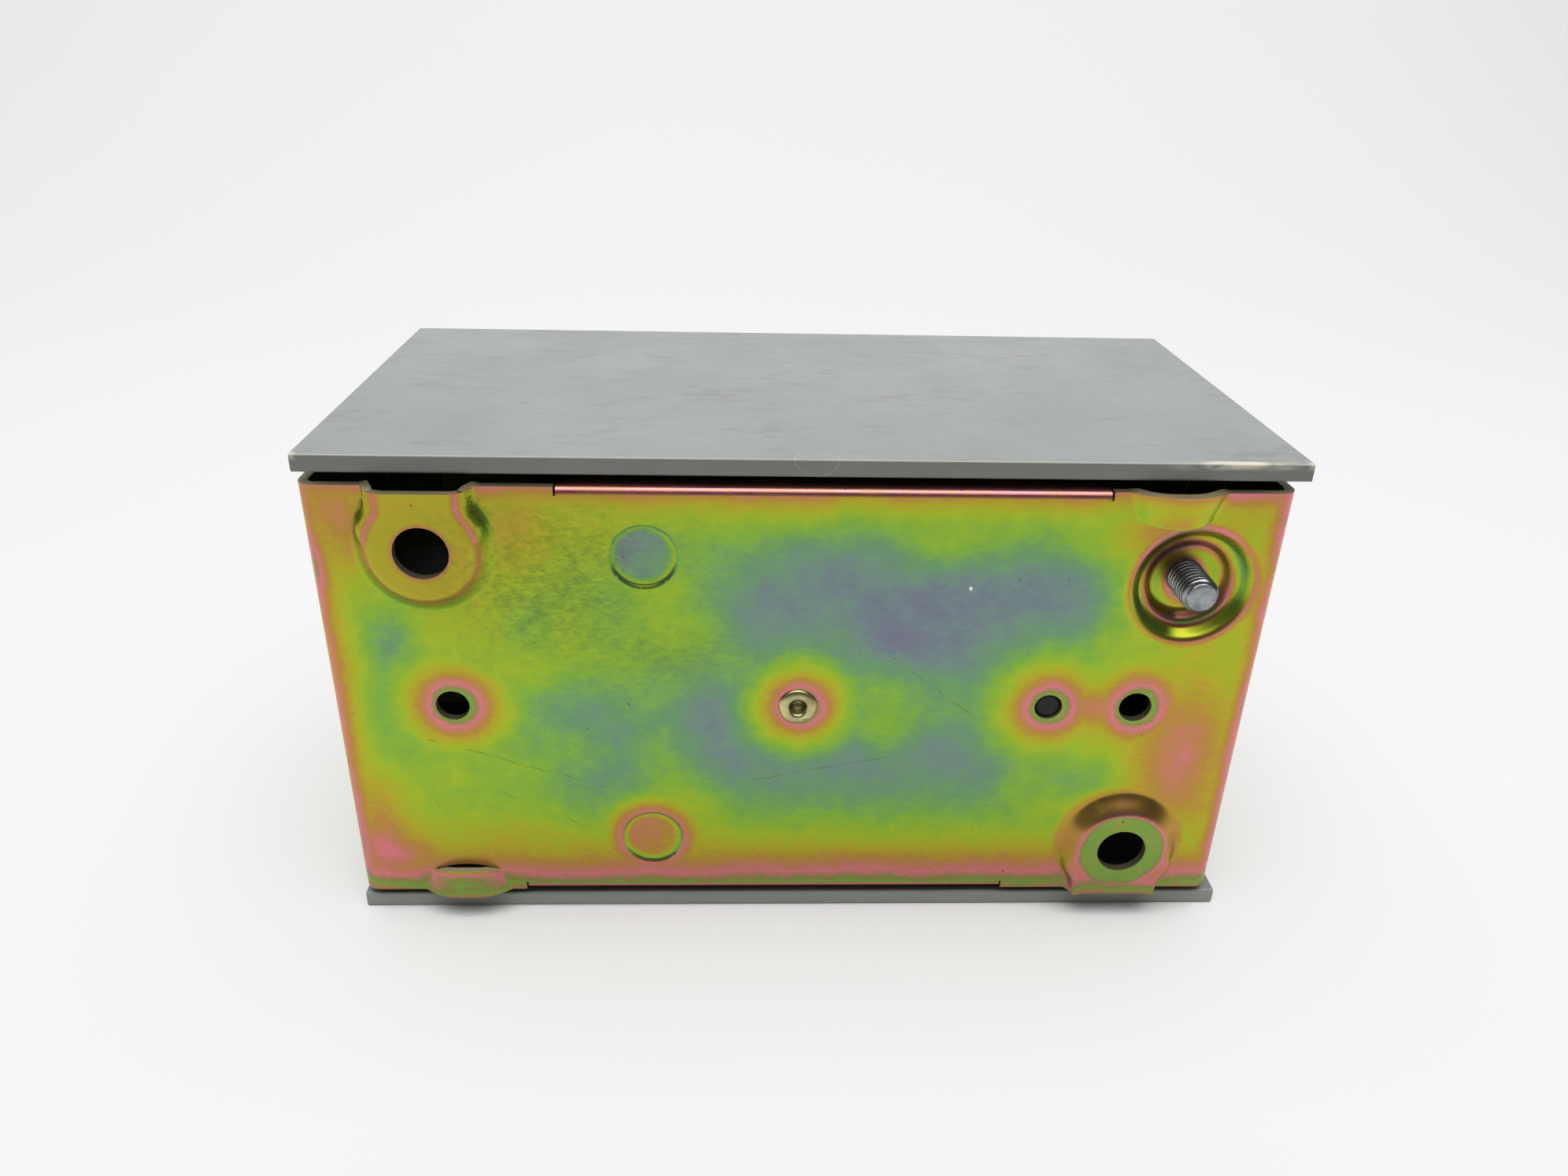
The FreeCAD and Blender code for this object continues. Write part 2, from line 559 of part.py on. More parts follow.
def case_openings(zc):
    """Every opening in a breaker's case: handle, stab, rail hook, load wire and load screw."""
    w, slot = CASE_WALL, HANDLE_HALF + 0.3
    barrel = rod_z(BARREL_R + BARREL_GAP, 0, HANDLE_Y, zc - slot, zc + slot)
    return [
        barrel.common(box(-20, 20, HANDLE_Y + 8, NOSE_Y + 5, zc - 9, zc + 9)),
        box(STAB_X - 4.5, STAB_X + 4.5, CASE_BACK_Y - 1, CASE_BACK_Y + w + 1, zc - 9, zc + 9),
        box(CASE_X - 4.2, CASE_X + 1, RAIL_LIP_Y - 0.4, RAIL_LIP_Y + RAIL_THICK + 0.4, zc - 20, zc + 20),
        rod_x(WIRE_HOLE_R, WIRE_HOLE_Y, zc, CASE_X - w - 1, CASE_X + 1),
        rod_y(LOAD_HEAD_R + 0.2, LOAD_SCREW_X, zc, CASE_STEP_Y - w - 1, CASE_STEP_Y + 1),
    ]


def case_half(zc, side):
    """One half of a breaker's moulded case, with its rivet bosses and half of the handle's axle."""
    far = zc + side * POLE_WIDTH / 2
    z0, z1 = min(zc, far), max(zc, far)
    block = outline_z(case_outline(0), z0, z1)
    rim = [e for e in block.Edges if e.BoundBox.ZLength < 0.01 and abs(e.BoundBox.ZMin - far) < 0.01]
    block = block.makeFillet(CASE_EDGE_R, rim)
    room = (z0 - 1, z1 - CASE_WALL) if side > 0 else (z0 + CASE_WALL, z1 + 1)
    body = block.cut(outline_z(case_outline(CASE_WALL), *room))
    bosses = [rod_z(CASE_BOSS_R, x, y, z0, z1).common(block) for x, y in CASE_RIVETS]
    axle = rod_z(AXLE_R, 0, HANDLE_Y, *((zc, far - 0.5) if side > 0 else (far + 0.5, zc)))
    bores = [rod_z(CASE_RIVET_R, x, y, z0 - 1, z1 + 1) for x, y in CASE_RIVETS]
    return body.fuse(bosses + [axle]).cut(bores + case_openings(zc)).removeSplitter()


def case_rivets(zc):
    """The rivets that close a breaker's case."""
    reach, radius = POLE_WIDTH / 2 - 0.1, CASE_RIVET_R - 0.02
    return Part.makeCompound([rod_z(radius, x, y, zc - reach, zc + reach) for x, y in CASE_RIVETS])


def handle(zc):
    """The toggle handle: hub, barrel sector and lever, resting at OFF (towards +X)."""
    z0, z1 = zc - HANDLE_HALF, zc + HANDLE_HALF
    span, top_y = math.radians(BARREL_SPAN), HANDLE_Y + HANDLE_TIP_R
    turns = (-span, -span / 2, 0, span / 2, span)
    wedge = [(0, HANDLE_Y)] + [(30 * math.sin(a), HANDLE_Y + 30 * math.cos(a)) for a in turns]
    sector = outline_z(wedge, z0, z1)
    ring = rod_z(BARREL_R, 0, HANDLE_Y, z0, z1).cut(rod_z(BARREL_R - 2.6, 0, HANDLE_Y, z0 - 1, z1 + 1))
    barrel = ring.common(sector)
    web = rod_z(BARREL_R - 1, 0, HANDLE_Y, zc - 1.2, zc + 1.2).common(sector)
    hub = rod_z(HUB_R, 0, HANDLE_Y, zc - HUB_HALF, zc + HUB_HALF)
    root_y = HANDLE_Y + BARREL_R - 1
    lever = outline_z([(-3.3, root_y), (3.3, root_y), (2.3, top_y), (-2.3, top_y)], z0, z1)
    lever = lever.makeFillet(1.0, [e for e in lever.Edges if e.BoundBox.YMin > top_y - 0.01])
    leg_y = ARM_PIVOT_Y + 4.6
    leg = [(-2, HANDLE_Y - 3), (2, HANDLE_Y - 3), (1.2, leg_y), (-1.2, leg_y)]
    leg = outline_z(leg, zc - 1.2, zc + 1.2)
    body = join([hub, web, barrel, lever, leg])
    body = body.cut(rod_z(AXLE_R + AXLE_GAP, 0, HANDLE_Y, z0 - 2, z1 + 2))
    body.rotate(V(0, HANDLE_Y, 0), V(0, 0, 1), -HANDLE_SWING / 2)
    return body


def contact_arm(zc):
    """The moving contact arm, resting open; its pivot is above the load side."""
    px, py = ARM_PIVOT_X, ARM_PIVOT_Y
    tip_y = CONTACT_TOP_Y + 0.25
    tip = [(CONTACT_X - 2, tip_y + 3.2), (CONTACT_X - 2, tip_y + 1.2), (CONTACT_X + 3, tip_y + 1.2)]
    blade = outline_z([(px + 3, py + 2.2), (px - 1, py + 3), *tip, (px + 2, py - 3)], zc - 1.6, zc + 1.6)
    contact = rod_y(2.0, CONTACT_X, zc, tip_y, tip_y + 1.6)
    arm = blade.fuse([rod_z(3.4, px, py, zc - 1.6, zc + 1.6), contact])
    arm = arm.cut(rod_z(ARM_PIN_R + 0.05, px, py, zc - 9, zc + 9))
    arm.rotate(V(px, py, 0), V(0, 0, 1), -ARM_SWING)
    return arm.removeSplitter()


def arm_pivot(zc):
    """The steel pin that the contact arm turns on."""
    reach = POLE_WIDTH / 2 - CASE_WALL
    return rod_z(ARM_PIN_R, ARM_PIVOT_X, ARM_PIVOT_Y, zc - reach, zc + reach)


def line_jaw(zc, zs):
    """The spring jaw over the stab at zs, and its strap with the fixed contact."""
    gap, thick, top = 0.8, 1.0, STAB_TOP_Y + 1.0
    blades = [box(STAB_X - gap - thick, STAB_X - gap, 11.5, top, zs - 4.4, zs + 4.4)]
    blades.append(box(STAB_X + gap, STAB_X + gap + thick, 11.5, top, zs - 4.4, zs + 4.4))
    z0, z1 = min(zs - 4.4, zc - 3.2), max(zs + 4.4, zc + 3.2)
    bridge = box(STAB_X - gap - thick, CONTACT_X + 3.5, top - 0.8, top, z0, z1)
    button = rod_y(2.0, CONTACT_X, zc, top - 0.2, CONTACT_TOP_Y)
    return join([bridge, *blades, button])


def bimetal(zc):
    """The bimetal strip that bends when it is overloaded."""
    return box(13.4, 14.4, 15.8, 41.0, zc - 4, zc + 4)


def magnet_yoke(zc):
    """The steel yoke that pulls in on a short circuit."""
    outer = box(14.6, 18.6, 22, 32, zc - 6.5, zc + 6.5)
    return outer.cut(box(14, 17.2, 21, 33, zc - 5.1, zc + 5.1))


def trip_cradle(zc):
    """The trip lever beside the contact arm."""
    points = [(-9, 45.5), (-6, 47.5), (9, 44.0), (15.6, 43.2), (15.6, 41.8), (6, 39.0)]
    hole = rod_z(ARM_PIN_R + 0.05, ARM_PIVOT_X, ARM_PIVOT_Y, zc, zc + 9)
    return outline_z(points, zc + 5.4, zc + 6.6).cut(hole)


def arc_chute(zc):
    """The stack of steel plates that splits the arc."""
    return Part.makeCompound([box(-33.5, -22, 27 + 3 * n, 28 + 3 * n, zc - 8, zc + 8) for n in range(5)])


def load_terminal(zc):
    """The copper strap from the bimetal to the load screw."""
    foot = box(13.4, 29.9, 14.3, 15.8, zc - 4, zc + 4)
    riser = box(28.4, 29.9, 14.3, 32.0, zc - 2.6, zc + 2.6)
    plate = box(28.4, 36.0, 30.6, 32.0, zc - 4.5, zc + 4.5)
    roof = box(28.4, 36.0, 40.4, 41.8, zc - 4.5, zc + 4.5)
    side = box(28.4, 36.0, 30.6, 41.8, zc + 4.5, zc + 5.7)
    return join([foot, riser, plate, roof, side]).cut(rod_y(1.9, LOAD_SCREW_X, zc, 38, 43))


def load_screw(zc):
    """The load terminal's screw, reached from the front."""
    return slotted_screw(LOAD_SCREW_X, zc, 42.3, LOAD_HEAD_R, 1.9, 1.9, 39.3)


# --- Assembly ----------------------------------------------------------------------------------------


def breaker(number, side):
    """Every piece of one breaker, by node name; side is -1 for the lower pole and 1 for the upper."""
    zc = MID_Z + side * POLE_PITCH / 2
    zs = MID_Z + side * STRAP_OFFSET
    pieces = {
        "case_base": case_half(zc, -1),
        "case_cover": case_half(zc, 1),
        "case_rivets": case_rivets(zc),
        "handle": handle(zc),
        "contact_arm": contact_arm(zc),
        "arm_pivot": arm_pivot(zc),
        "line_jaw": line_jaw(zc, zs),
        "bimetal": bimetal(zc),
        "magnet_yoke": magnet_yoke(zc),
        "trip_cradle": trip_cradle(zc),
        "arc_chute": arc_chute(zc),
        "load_terminal": load_terminal(zc),
        "load_screw": load_screw(zc),
    }
    return {f"breaker_{number}_{name}": shape for name, shape in pieces.items()}


def assembly():
    """Every node's shape, by name."""
    nodes = {
        "base_pan": base_pan(),
        "cover": cover(),
        "cover_screws": cover_screws(),
        "circuit_label": circuit_label(),
        "ground_screw": ground_screw(),
        "ground_cup_washer": ground_cup_washer(),
        "centre_rivet": centre_rivet(),
        "interior_base": interior_base(),
        "bus_screws": bus_screws(),
        "line_lug_screws": line_lug_screws(),
        "neutral_bar": neutral_bar(),
        "neutral_bar_screws": neutral_bar_screws(),
        "hook_rail": hook_rail(),
    }
    for number, side in ((1, -1), (2, 1)):
        nodes[f"line_bus_{number}"] = line_bus(side)
        nodes[f"line_lug_{number}"] = line_lug(side)
        nodes.update(breaker(number, side))
    return nodes


def main():
    """Writes one STEP file for each node."""
    os.makedirs("parts", exist_ok=True)
    for name, shape in assembly().items():
        shape.translate(V(0 if name in ("cover", "circuit_label") else CHASSIS_X, -ORIGIN_Y, 0))
        shape.exportStep(f"parts/{name}.step")
        box_ = shape.BoundBox
        print(f"{name:28s} solids {len(shape.Solids)} valid {shape.isValid()} volume {shape.Volume:9.1f}"
              f"  y {box_.YMin:7.2f} {box_.YMax:7.2f}")


main()
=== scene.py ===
"""A small breaker enclosure seen from its wall side, lying on a pale sheet of paper.

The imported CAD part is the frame. The pressed pan, its ground screw and its tubular rivet are rebuilt here as
fine computed surfaces; the cover and everything inside it keep their CAD surfaces and get their finishes.
Sizes in the dataclasses are in millimetres; the surfaces are made in metres.
"""

import json
import logging
import math
from dataclasses import dataclass
from enum import Enum
from typing import Iterable, Optional, Sequence

import bpy
import numpy as np
from mathutils import Euler, Matrix, Vector
from mathutils.geometry import delaunay_2d_cdt


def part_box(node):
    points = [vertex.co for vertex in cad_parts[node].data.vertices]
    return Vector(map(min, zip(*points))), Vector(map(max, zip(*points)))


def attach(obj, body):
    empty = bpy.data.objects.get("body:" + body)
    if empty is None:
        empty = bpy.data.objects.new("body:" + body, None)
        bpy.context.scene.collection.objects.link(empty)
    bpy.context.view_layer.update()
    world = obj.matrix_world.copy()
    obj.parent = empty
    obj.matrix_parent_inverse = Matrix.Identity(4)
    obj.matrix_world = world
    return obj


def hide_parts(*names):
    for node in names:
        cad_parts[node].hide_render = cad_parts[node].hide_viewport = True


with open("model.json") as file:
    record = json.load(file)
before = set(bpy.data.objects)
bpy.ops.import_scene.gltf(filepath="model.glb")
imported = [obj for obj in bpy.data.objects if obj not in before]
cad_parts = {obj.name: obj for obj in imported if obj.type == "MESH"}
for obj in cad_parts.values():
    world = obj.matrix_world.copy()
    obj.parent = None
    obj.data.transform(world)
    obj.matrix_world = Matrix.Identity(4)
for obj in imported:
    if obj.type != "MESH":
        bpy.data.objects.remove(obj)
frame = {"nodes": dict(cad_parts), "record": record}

LOG = logging.getLogger("breaker_box")
MM = 0.001
Socket = bpy.types.NodeSocket
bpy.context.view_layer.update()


# --- Small helpers ------------------------------------------------------------------------------------


def linear(hex_colour: str) -> tuple[float, float, float, float]:
    """Turns an sRGB hex colour into the linear colour that shaders use.

    Args:
        hex_colour: Six hex digits with a leading #.

    Returns:
        Linear red, green and blue, and an alpha of 1.
    """
    values = [int(hex_colour[i : i + 2], 16) / 255 for i in (1, 3, 5)]
    red, green, blue = (v / 12.92 if v <= 0.04045 else ((v + 0.055) / 1.055) ** 2.4 for v in values)
    return red, green, blue, 1.0


def smooth(value: np.ndarray) -> np.ndarray:
    """The smooth step of a value: 3t^2 - 2t^3 with t held between 0 and 1."""
    t = np.clip(value, 0.0, 1.0)
    return t * t * (3.0 - 2.0 * t)


def soft_min(a: np.ndarray, b: np.ndarray, reach: float) -> np.ndarray:
    """The lower of two fields, rounded where they cross within the given reach."""
    h = np.clip(0.5 + 0.5 * (b - a) / reach, 0.0, 1.0)
    return b + (a - b) * h - reach * h * (1.0 - h)


def value_noise(x: np.ndarray, z: np.ndarray, scale: float, seed: int) -> np.ndarray:
    """Smooth random hills between -1 and 1.

    Random heights sit on a square lattice, and a point takes the smooth-step blend of its cell's corners.

    Args:
        x: First coordinate of each point.
        z: Second coordinate of each point.
        scale: The lattice's pitch, in the coordinates' unit.
        seed: Which random heights are used.

    Returns:
        One height for each point.
    """
    heights = np.random.default_rng(seed).uniform(-1, 1, (256, 256))
    i, j = np.floor(x / scale).astype(int), np.floor(z / scale).astype(int)
    u, v = smooth(x / scale - i), smooth(z / scale - j)
    corner = [heights[(i + a) % 256, (j + b) % 256] for a in (0, 1) for b in (0, 1)]
    return (corner[0] * (1 - v) + corner[1] * v) * (1 - u) + (corner[2] * (1 - v) + corner[3] * v) * u


def oval_spot(
    x: np.ndarray, z: np.ndarray, cx: float, cz: float, reach_x: float, reach_z: float
) -> np.ndarray:
    """A soft oval spot round (cx, cz): exp(-(dx / reach_x)^2 - (dz / reach_z)^2)."""
    return np.exp(-(((x - cx) / reach_x) ** 2) - ((z - cz) / reach_z) ** 2)


def make_mesh(
    name: str, vertices: np.ndarray, faces: Sequence, fields: Optional[dict[str, np.ndarray]] = None
) -> bpy.types.Object:
    """Makes a smooth-shaded object.

    Args:
        name: The object's name.
        vertices: One (x, y, z) row for each vertex, in metres.
        faces: Vertex indices of each face, counter-clockwise from outside.
        fields: Float attributes to keep at the vertices, by name.

    Returns:
        The new object, linked to the scene.
    """
    mesh = bpy.data.meshes.new(name)
    mesh.from_pydata(np.asarray(vertices, float), [], [tuple(map(int, f)) for f in faces])
    for key, values in (fields or {}).items():
        mesh.attributes.new(key, "FLOAT", "POINT").data.foreach_set("value", np.asarray(values, np.float32))
    mesh.shade_smooth()
    thing = bpy.data.objects.new(name, mesh)
    bpy.context.scene.collection.objects.link(thing)
    return thing


def grid_faces(rows: int, columns: int, closed: bool) -> np.ndarray:
    """The quads of a rows by columns grid of vertices, joined round on itself if closed."""
    last = columns if closed else columns - 1
    r, c = np.meshgrid(np.arange(rows - 1), np.arange(last), indexing="ij")
    n = (c + 1) % columns
    quads = [r * columns + c, r * columns + n, (r + 1) * columns + n, (r + 1) * columns + c]
    return np.stack(quads, -1).reshape(-1, 4)


# --- Finishes -----------------------------------------------------------------------------------------


class Grain(Enum):
    """How a finish's fine pattern is stretched, as a scale along X, Y and Z."""

    EVEN = (1.0, 1.0, 1.0)
    ROLLED_ALONG_X = (0.12, 1.0, 1.0)
    TURNED = (1.0, 0.15, 1.0)


@dataclass(frozen=True)
class Finish:
    """A plain procedural finish.

    Attributes:
        name: Real material and how it was made.
        colours: Two tones that the broad pattern mixes.
        metallic: 1 for bare metal, 0 for anything else.
        roughness: Lowest and highest roughness.
        broad: Size of the broad tone pattern, in mm.
        fine: Size of the fine surface pattern, in mm.
        relief: Depth of the fine surface pattern, in mm.
        grain: How the fine pattern is stretched.
        coat: Strength of a clear coat.
    """

    name: str
    colours: tuple[str, str]
    metallic: float
    roughness: tuple[float, float]
    broad: float
    fine: float
    relief: float
    grain: Grain = Grain.EVEN
    coat: float = 0.0


def add(tree: bpy.types.NodeTree, kind: str, links: Optional[dict] = None, **settings) -> bpy.types.Node:
    """Adds a shader node.

    Args:
        tree: The material's node tree.
        kind: The node's type name.
        links: Input name or number to a socket to link, or to a plain value.
        **settings: Attributes to set on the node.

    Returns:
        The new node.
    """
    node = tree.nodes.new(kind)
    for key, value in settings.items():
        setattr(node, key, value)
    for key, value in (links or {}).items():
        if isinstance(value, Socket):
            tree.links.new(value, node.inputs[key])
        else:
            node.inputs[key].default_value = value
    return node


class Paint:
    """Builds one material's node tree step by step."""

    def __init__(self, name: str) -> None:
        self.material = bpy.data.materials.new(name)
        self.material.use_nodes = True
        self.tree = self.material.node_tree
        self.tree.nodes.clear()
        self.place = self.add("ShaderNodeTexCoord").outputs["Object"]

    def add(self, kind: str, links: Optional[dict] = None, **settings) -> bpy.types.Node:
        """Adds a node to this material; see add()."""
        return add(self.tree, kind, links, **settings)

    def noise(self, size: float, detail: float = 4.0, stretch=(1, 1, 1), **more) -> Socket:
        """A noise whose lumps are about size mm across, as a value between 0 and 1."""
        scaled = self.add("ShaderNodeMapping", {"Vector": self.place, "Scale": tuple(stretch)})
        links = {"Vector": scaled.outputs[0], "Scale": 1 / (size * MM), "Detail": detail, **more}
        return self.add("ShaderNodeTexNoise", links).outputs["Fac"]

    def ramp(self, value: Socket, low: float, high: float, to_low=0.0, to_high=1.0) -> Socket:
        """The value carried from low..high to to_low..to_high and held there."""
        links = {"Value": value, "From Min": low, "From Max": high, "To Min": to_low, "To Max": to_high}
        return self.add("ShaderNodeMapRange", links).outputs[0]

    def maths(self, operation: str, a, b=0.0) -> Socket:
        """One step of arithmetic on two values."""
        return self.add("ShaderNodeMath", {0: a, 1: b}, operation=operation).outputs[0]

    def times(self, a, b) -> Socket:
        """Two values multiplied."""
        return self.maths("MULTIPLY", a, b)

    def attribute(self, name: str) -> Socket:
        """A value that the mesh carries at its vertices."""
        return self.add("ShaderNodeAttribute", attribute_name=name).outputs["Fac"]

    def distance(self, point: Sequence[float]) -> Socket:
        """Distance from a point, in metres."""
        node = self.add("ShaderNodeVectorMath", {0: self.place, 1: point}, operation="DISTANCE")
        return node.outputs["Value"]

    def mix(self, amount, a, b, blend: str = "MIX") -> Socket:
        """Two colours mixed by an amount; a colour is a socket or a hex string."""
        first, second = (linear(c) if isinstance(c, str) else c for c in (a, b))
        links = {"Factor": amount, 6: first, 7: second}
        return self.add("ShaderNodeMix", links, data_type="RGBA", blend_type=blend).outputs[2]

    def stops(self, value: Socket, stops: Iterable[tuple[float, str]]) -> Socket:
        """The colour at a value along a list of (position, hex colour) stops."""
        node = self.add("ShaderNodeValToRGB", {"Fac": value})
        elements = node.color_ramp.elements
        elements.remove(elements[1])
        for number, (position, colour) in enumerate(stops):
            stop = elements.new(position) if number else elements[0]
            stop.position, stop.color = position, linear(colour)
        return node.outputs[0]

    def scratch(self, start: tuple[float, float], end: tuple[float, float]) -> Socket:
        """A hair scratch between two (x, z) places in mm: 1 on its line, broken up along its length."""
        spot = self.add("ShaderNodeSeparateXYZ", {"Vector": self.place}).outputs
        (x0, z0), (x1, z1) = start, end
        slope = (z1 - z0) / (x1 - x0)
        line = self.maths("ADD", self.times(spot[0], slope), (z0 - slope * x0) * MM)
        line = self.maths("ADD", line, self.times(self.noise(14.0, 2.0), 2.2 * MM))
        away = self.maths("ABSOLUTE", self.maths("SUBTRACT", spot[2], line))
        fade_in, fade_out = (self.ramp(spot[0], a * MM, b * MM) for a, b in ((x0, x0 + 4), (x1, x1 - 4)))
        inside = self.times(fade_in, fade_out)
        broken = self.times(inside, self.ramp(self.noise(3.0), 0.42, 0.55))
        return self.times(self.ramp(away, 0.03 * MM, 0.11 * MM, 1.0, 0.0), broken)

    def bump(self, height: Socket, depth: float, under: Optional[Socket] = None) -> Socket:
        """A normal tipped by a height between 0 and 1 that is depth mm deep."""
        links = {"Height": height, "Distance": depth * MM, "Strength": 1.0}
        if under is not None:
            links["Normal"] = under
        return self.add("ShaderNodeBump", links).outputs[0]

    def surface(self, **inputs) -> bpy.types.Material:
        """Closes the tree with a shader; keywords are its inputs with _ for a space."""
        links = {key.replace("_", " "): value for key, value in inputs.items()}
        shader = self.add("ShaderNodeBsdfPrincipled", links)
        self.add("ShaderNodeOutputMaterial", {"Surface": shader.outputs[0]})
        return self.material


def plain_material(finish: Finish) -> bpy.types.Material:
    """Builds a material from a plain finish."""
    paint = Paint(finish.name)
    broad = paint.noise(finish.broad, 3.0)
    fine = paint.noise(finish.fine, 5.0, finish.grain.value)
    colour = paint.mix(paint.ramp(broad, 0.35, 0.65), *finish.colours)
    blend = paint.maths("ADD", paint.times(broad, 0.4), paint.times(fine, 0.6))
    rough = paint.ramp(blend, 0.3, 0.75, *finish.roughness)
    inputs = {"Base Color": colour, "Metallic": finish.metallic, "Roughness": rough}
    inputs["Normal"] = paint.bump(fine, finish.relief)
    if finish.coat:
        inputs["Coat Weight"] = finish.coat
    return paint.surface(**inputs)


PLAIN = {
    # Bright electroplated screws: cool and silvery, with grey smears where they have been handled.
    "bright_zinc": Finish(
        "Zinc-plated steel, cold-headed", ("#a4a6a9", "#86888b"), 1.0, (0.22, 0.42), 1.6, 0.25, 0.004
    ),
    # Dull passivated parts: a warm grey that has lost its shine.
    "plated_steel_dark": Finish(
        "Zinc-plated steel, stamped", ("#cbc69c", "#aaa57e"), 1.0, (0.26, 0.45), 2.2, 0.2, 0.004
    ),
    # A blank paper label: off-white, slightly fibrous.
    "paper_label": Finish(
        "Uncoated paper label", ("#dcd9cf", "#d2cec1"), 0.0, (0.75, 0.9), 9.0, 0.3, 0.01
    ),
    # Mineral-filled phenolic: nearly black with a faint grey bloom.
    "black_moulding": Finish(
        "Phenolic, compression moulded", ("#1a1a1b", "#262627"), 0.0, (0.42, 0.6), 5.0, 0.35, 0.012
    ),
    # Breaker cases: black with a soft sheen.
    "case_moulding": Finish(
        "Phenolic, polished mould", ("#161617", "#202021"), 0.0,
        (0.28, 0.42), 8.0, 0.4, 0.006, coat=0.15
    ),
    # Handles: black, dulled where thumbs have pushed them.
    "handle_moulding": Finish(
        "Nylon, injection moulded", ("#1c1c1d", "#2a2a2a"), 0.0, (0.38, 0.62), 3.0, 0.25, 0.006
    ),
    # Tin over copper: pale and satiny, cloudy.
    "tinned_copper": Finish(
        "Copper bar, tin plated", ("#cfcdc6", "#b3b1a8"), 1.0,
        (0.3, 0.48), 4.0, 0.25, 0.003, Grain.ROLLED_ALONG_X
    ),
    # Cut extrusion: light grey with straight draw lines.
    "lug_aluminium": Finish(
        "Aluminium, extruded and cut", ("#cdced0", "#b9babc"), 1.0,
        (0.25, 0.45), 5.0, 0.18, 0.004, Grain.TURNED
    ),
    # Sawn brass bar: yellow with browner fingers of tarnish.
    "brass": Finish(
        "Brass bar, sawn and tumbled", ("#cfae62", "#a9863f"), 1.0, (0.25, 0.45), 4.0, 0.2, 0.004
    ),
    # Bare copper: pink-brown, darker where it has oxidised.
    "copper": Finish("Copper strip, blanked", ("#c07a55", "#8a5238"), 1.0, (0.28, 0.5), 3.0, 0.2, 0.003),
    # Bimetal: warm steel with a rolled face.
    "bimetal_strip": Finish(
        "Bimetal strip, rolled", ("#a59c8c", "#8b8374"), 1.0,
        (0.28, 0.45), 3.0, 0.18, 0.003, Grain.ROLLED_ALONG_X
    ),
}


def chromate_material() -> bpy.types.Material:
    """Yellow chromate over bright zinc, coloured by how thick its film is at each point.

    The eye sees interference bands: copper and green at bare edges, then pink, gold, yellow-green, green,
    teal, and violet-grey where the film is thickest. The mesh carries the film's thickness, its scuffs, and
    a painted shade that darkens the folded lips where they run in under the cover.
    """
    paint = Paint("Yellow chromate on zinc-plated sheet")
    film = paint.attribute("film")
    scuff = paint.attribute("scuff")
    lip_painted_shade = paint.attribute("lip_painted_shade")
    bare = paint.attribute("bare")
    rolled = paint.noise(0.55, 5.0, (0.5, 1, 1))
    mottle = paint.noise(2.6, 4.0)
    thick = paint.maths("ADD", film, paint.times(paint.maths("SUBTRACT", rolled, 0.5), 0.13))
    thick = paint.maths("ADD", thick, paint.times(paint.maths("SUBTRACT", mottle, 0.5), 0.10))
    colour = paint.stops(thick, FILM_STOPS)
    rub = paint.noise(0.55, 8.0, (0.5, 1, 1), Roughness=0.75)
    rubbed = paint.times(scuff, paint.ramp(rub, 0.36, 0.7))
    colour = paint.mix(paint.times(rubbed, 0.45), colour, "#7d6c4a")
    colour = paint.mix(paint.times(bare, 0.85), colour, "#b7b494")
    # Painted shade: the folded lips turn dark brown the deeper they run in under the cover.
    colour = paint.mix(paint.times(lip_painted_shade, 0.85), colour, "#2c2019")
    specks = paint.ramp(paint.noise(0.8, 2.0), 0.75, 0.775)
    colour = paint.mix(paint.times(specks, 0.8), colour, "#3b3a22")
    rough = paint.maths("ADD", paint.ramp(mottle, 0.3, 0.7, 0.27, 0.36), paint.times(rubbed, 0.16))
    for start, end in SCRATCHES:
        colour = paint.mix(paint.times(paint.scratch(start, end), 0.5), colour, "#5d5a3a")
    fleck = paint.maths("ADD", paint.distance(FLECK), paint.times(paint.noise(0.5), 0.5 * MM))
    colour = paint.mix(paint.ramp(fleck, 0.42 * MM, 0.58 * MM, 0.8, 0.0), colour, "#e8e6da")
    normal = paint.bump(rolled, 0.0035)
    # Sheared edges are matt and torn, so they take light from all round.
    rough = paint.maths("ADD", rough, paint.times(bare, 0.3))
    metal = paint.maths("SUBTRACT", 0.9, paint.times(bare, 0.6))
    return paint.surface(Base_Color=colour, Metallic=metal, Roughness=rough, Normal=normal)


FILM_STOPS = (
    (0.00, "#9c937a"),
    (0.04, "#b88a66"),
    (0.12, "#88aa58"),
    (0.17, "#98955c"),
    (0.26, "#cf8890"),
    (0.33, "#c28c74"),
    (0.40, "#b99650"),
    (0.50, "#b6ae3e"),
    (0.60, "#a8ba3f"),
    (0.70, "#90b452"),
    (0.80, "#7fa47c"),
    (0.89, "#849892"),
    (0.96, "#858a98"),
    (1.00, "#928494"),
)


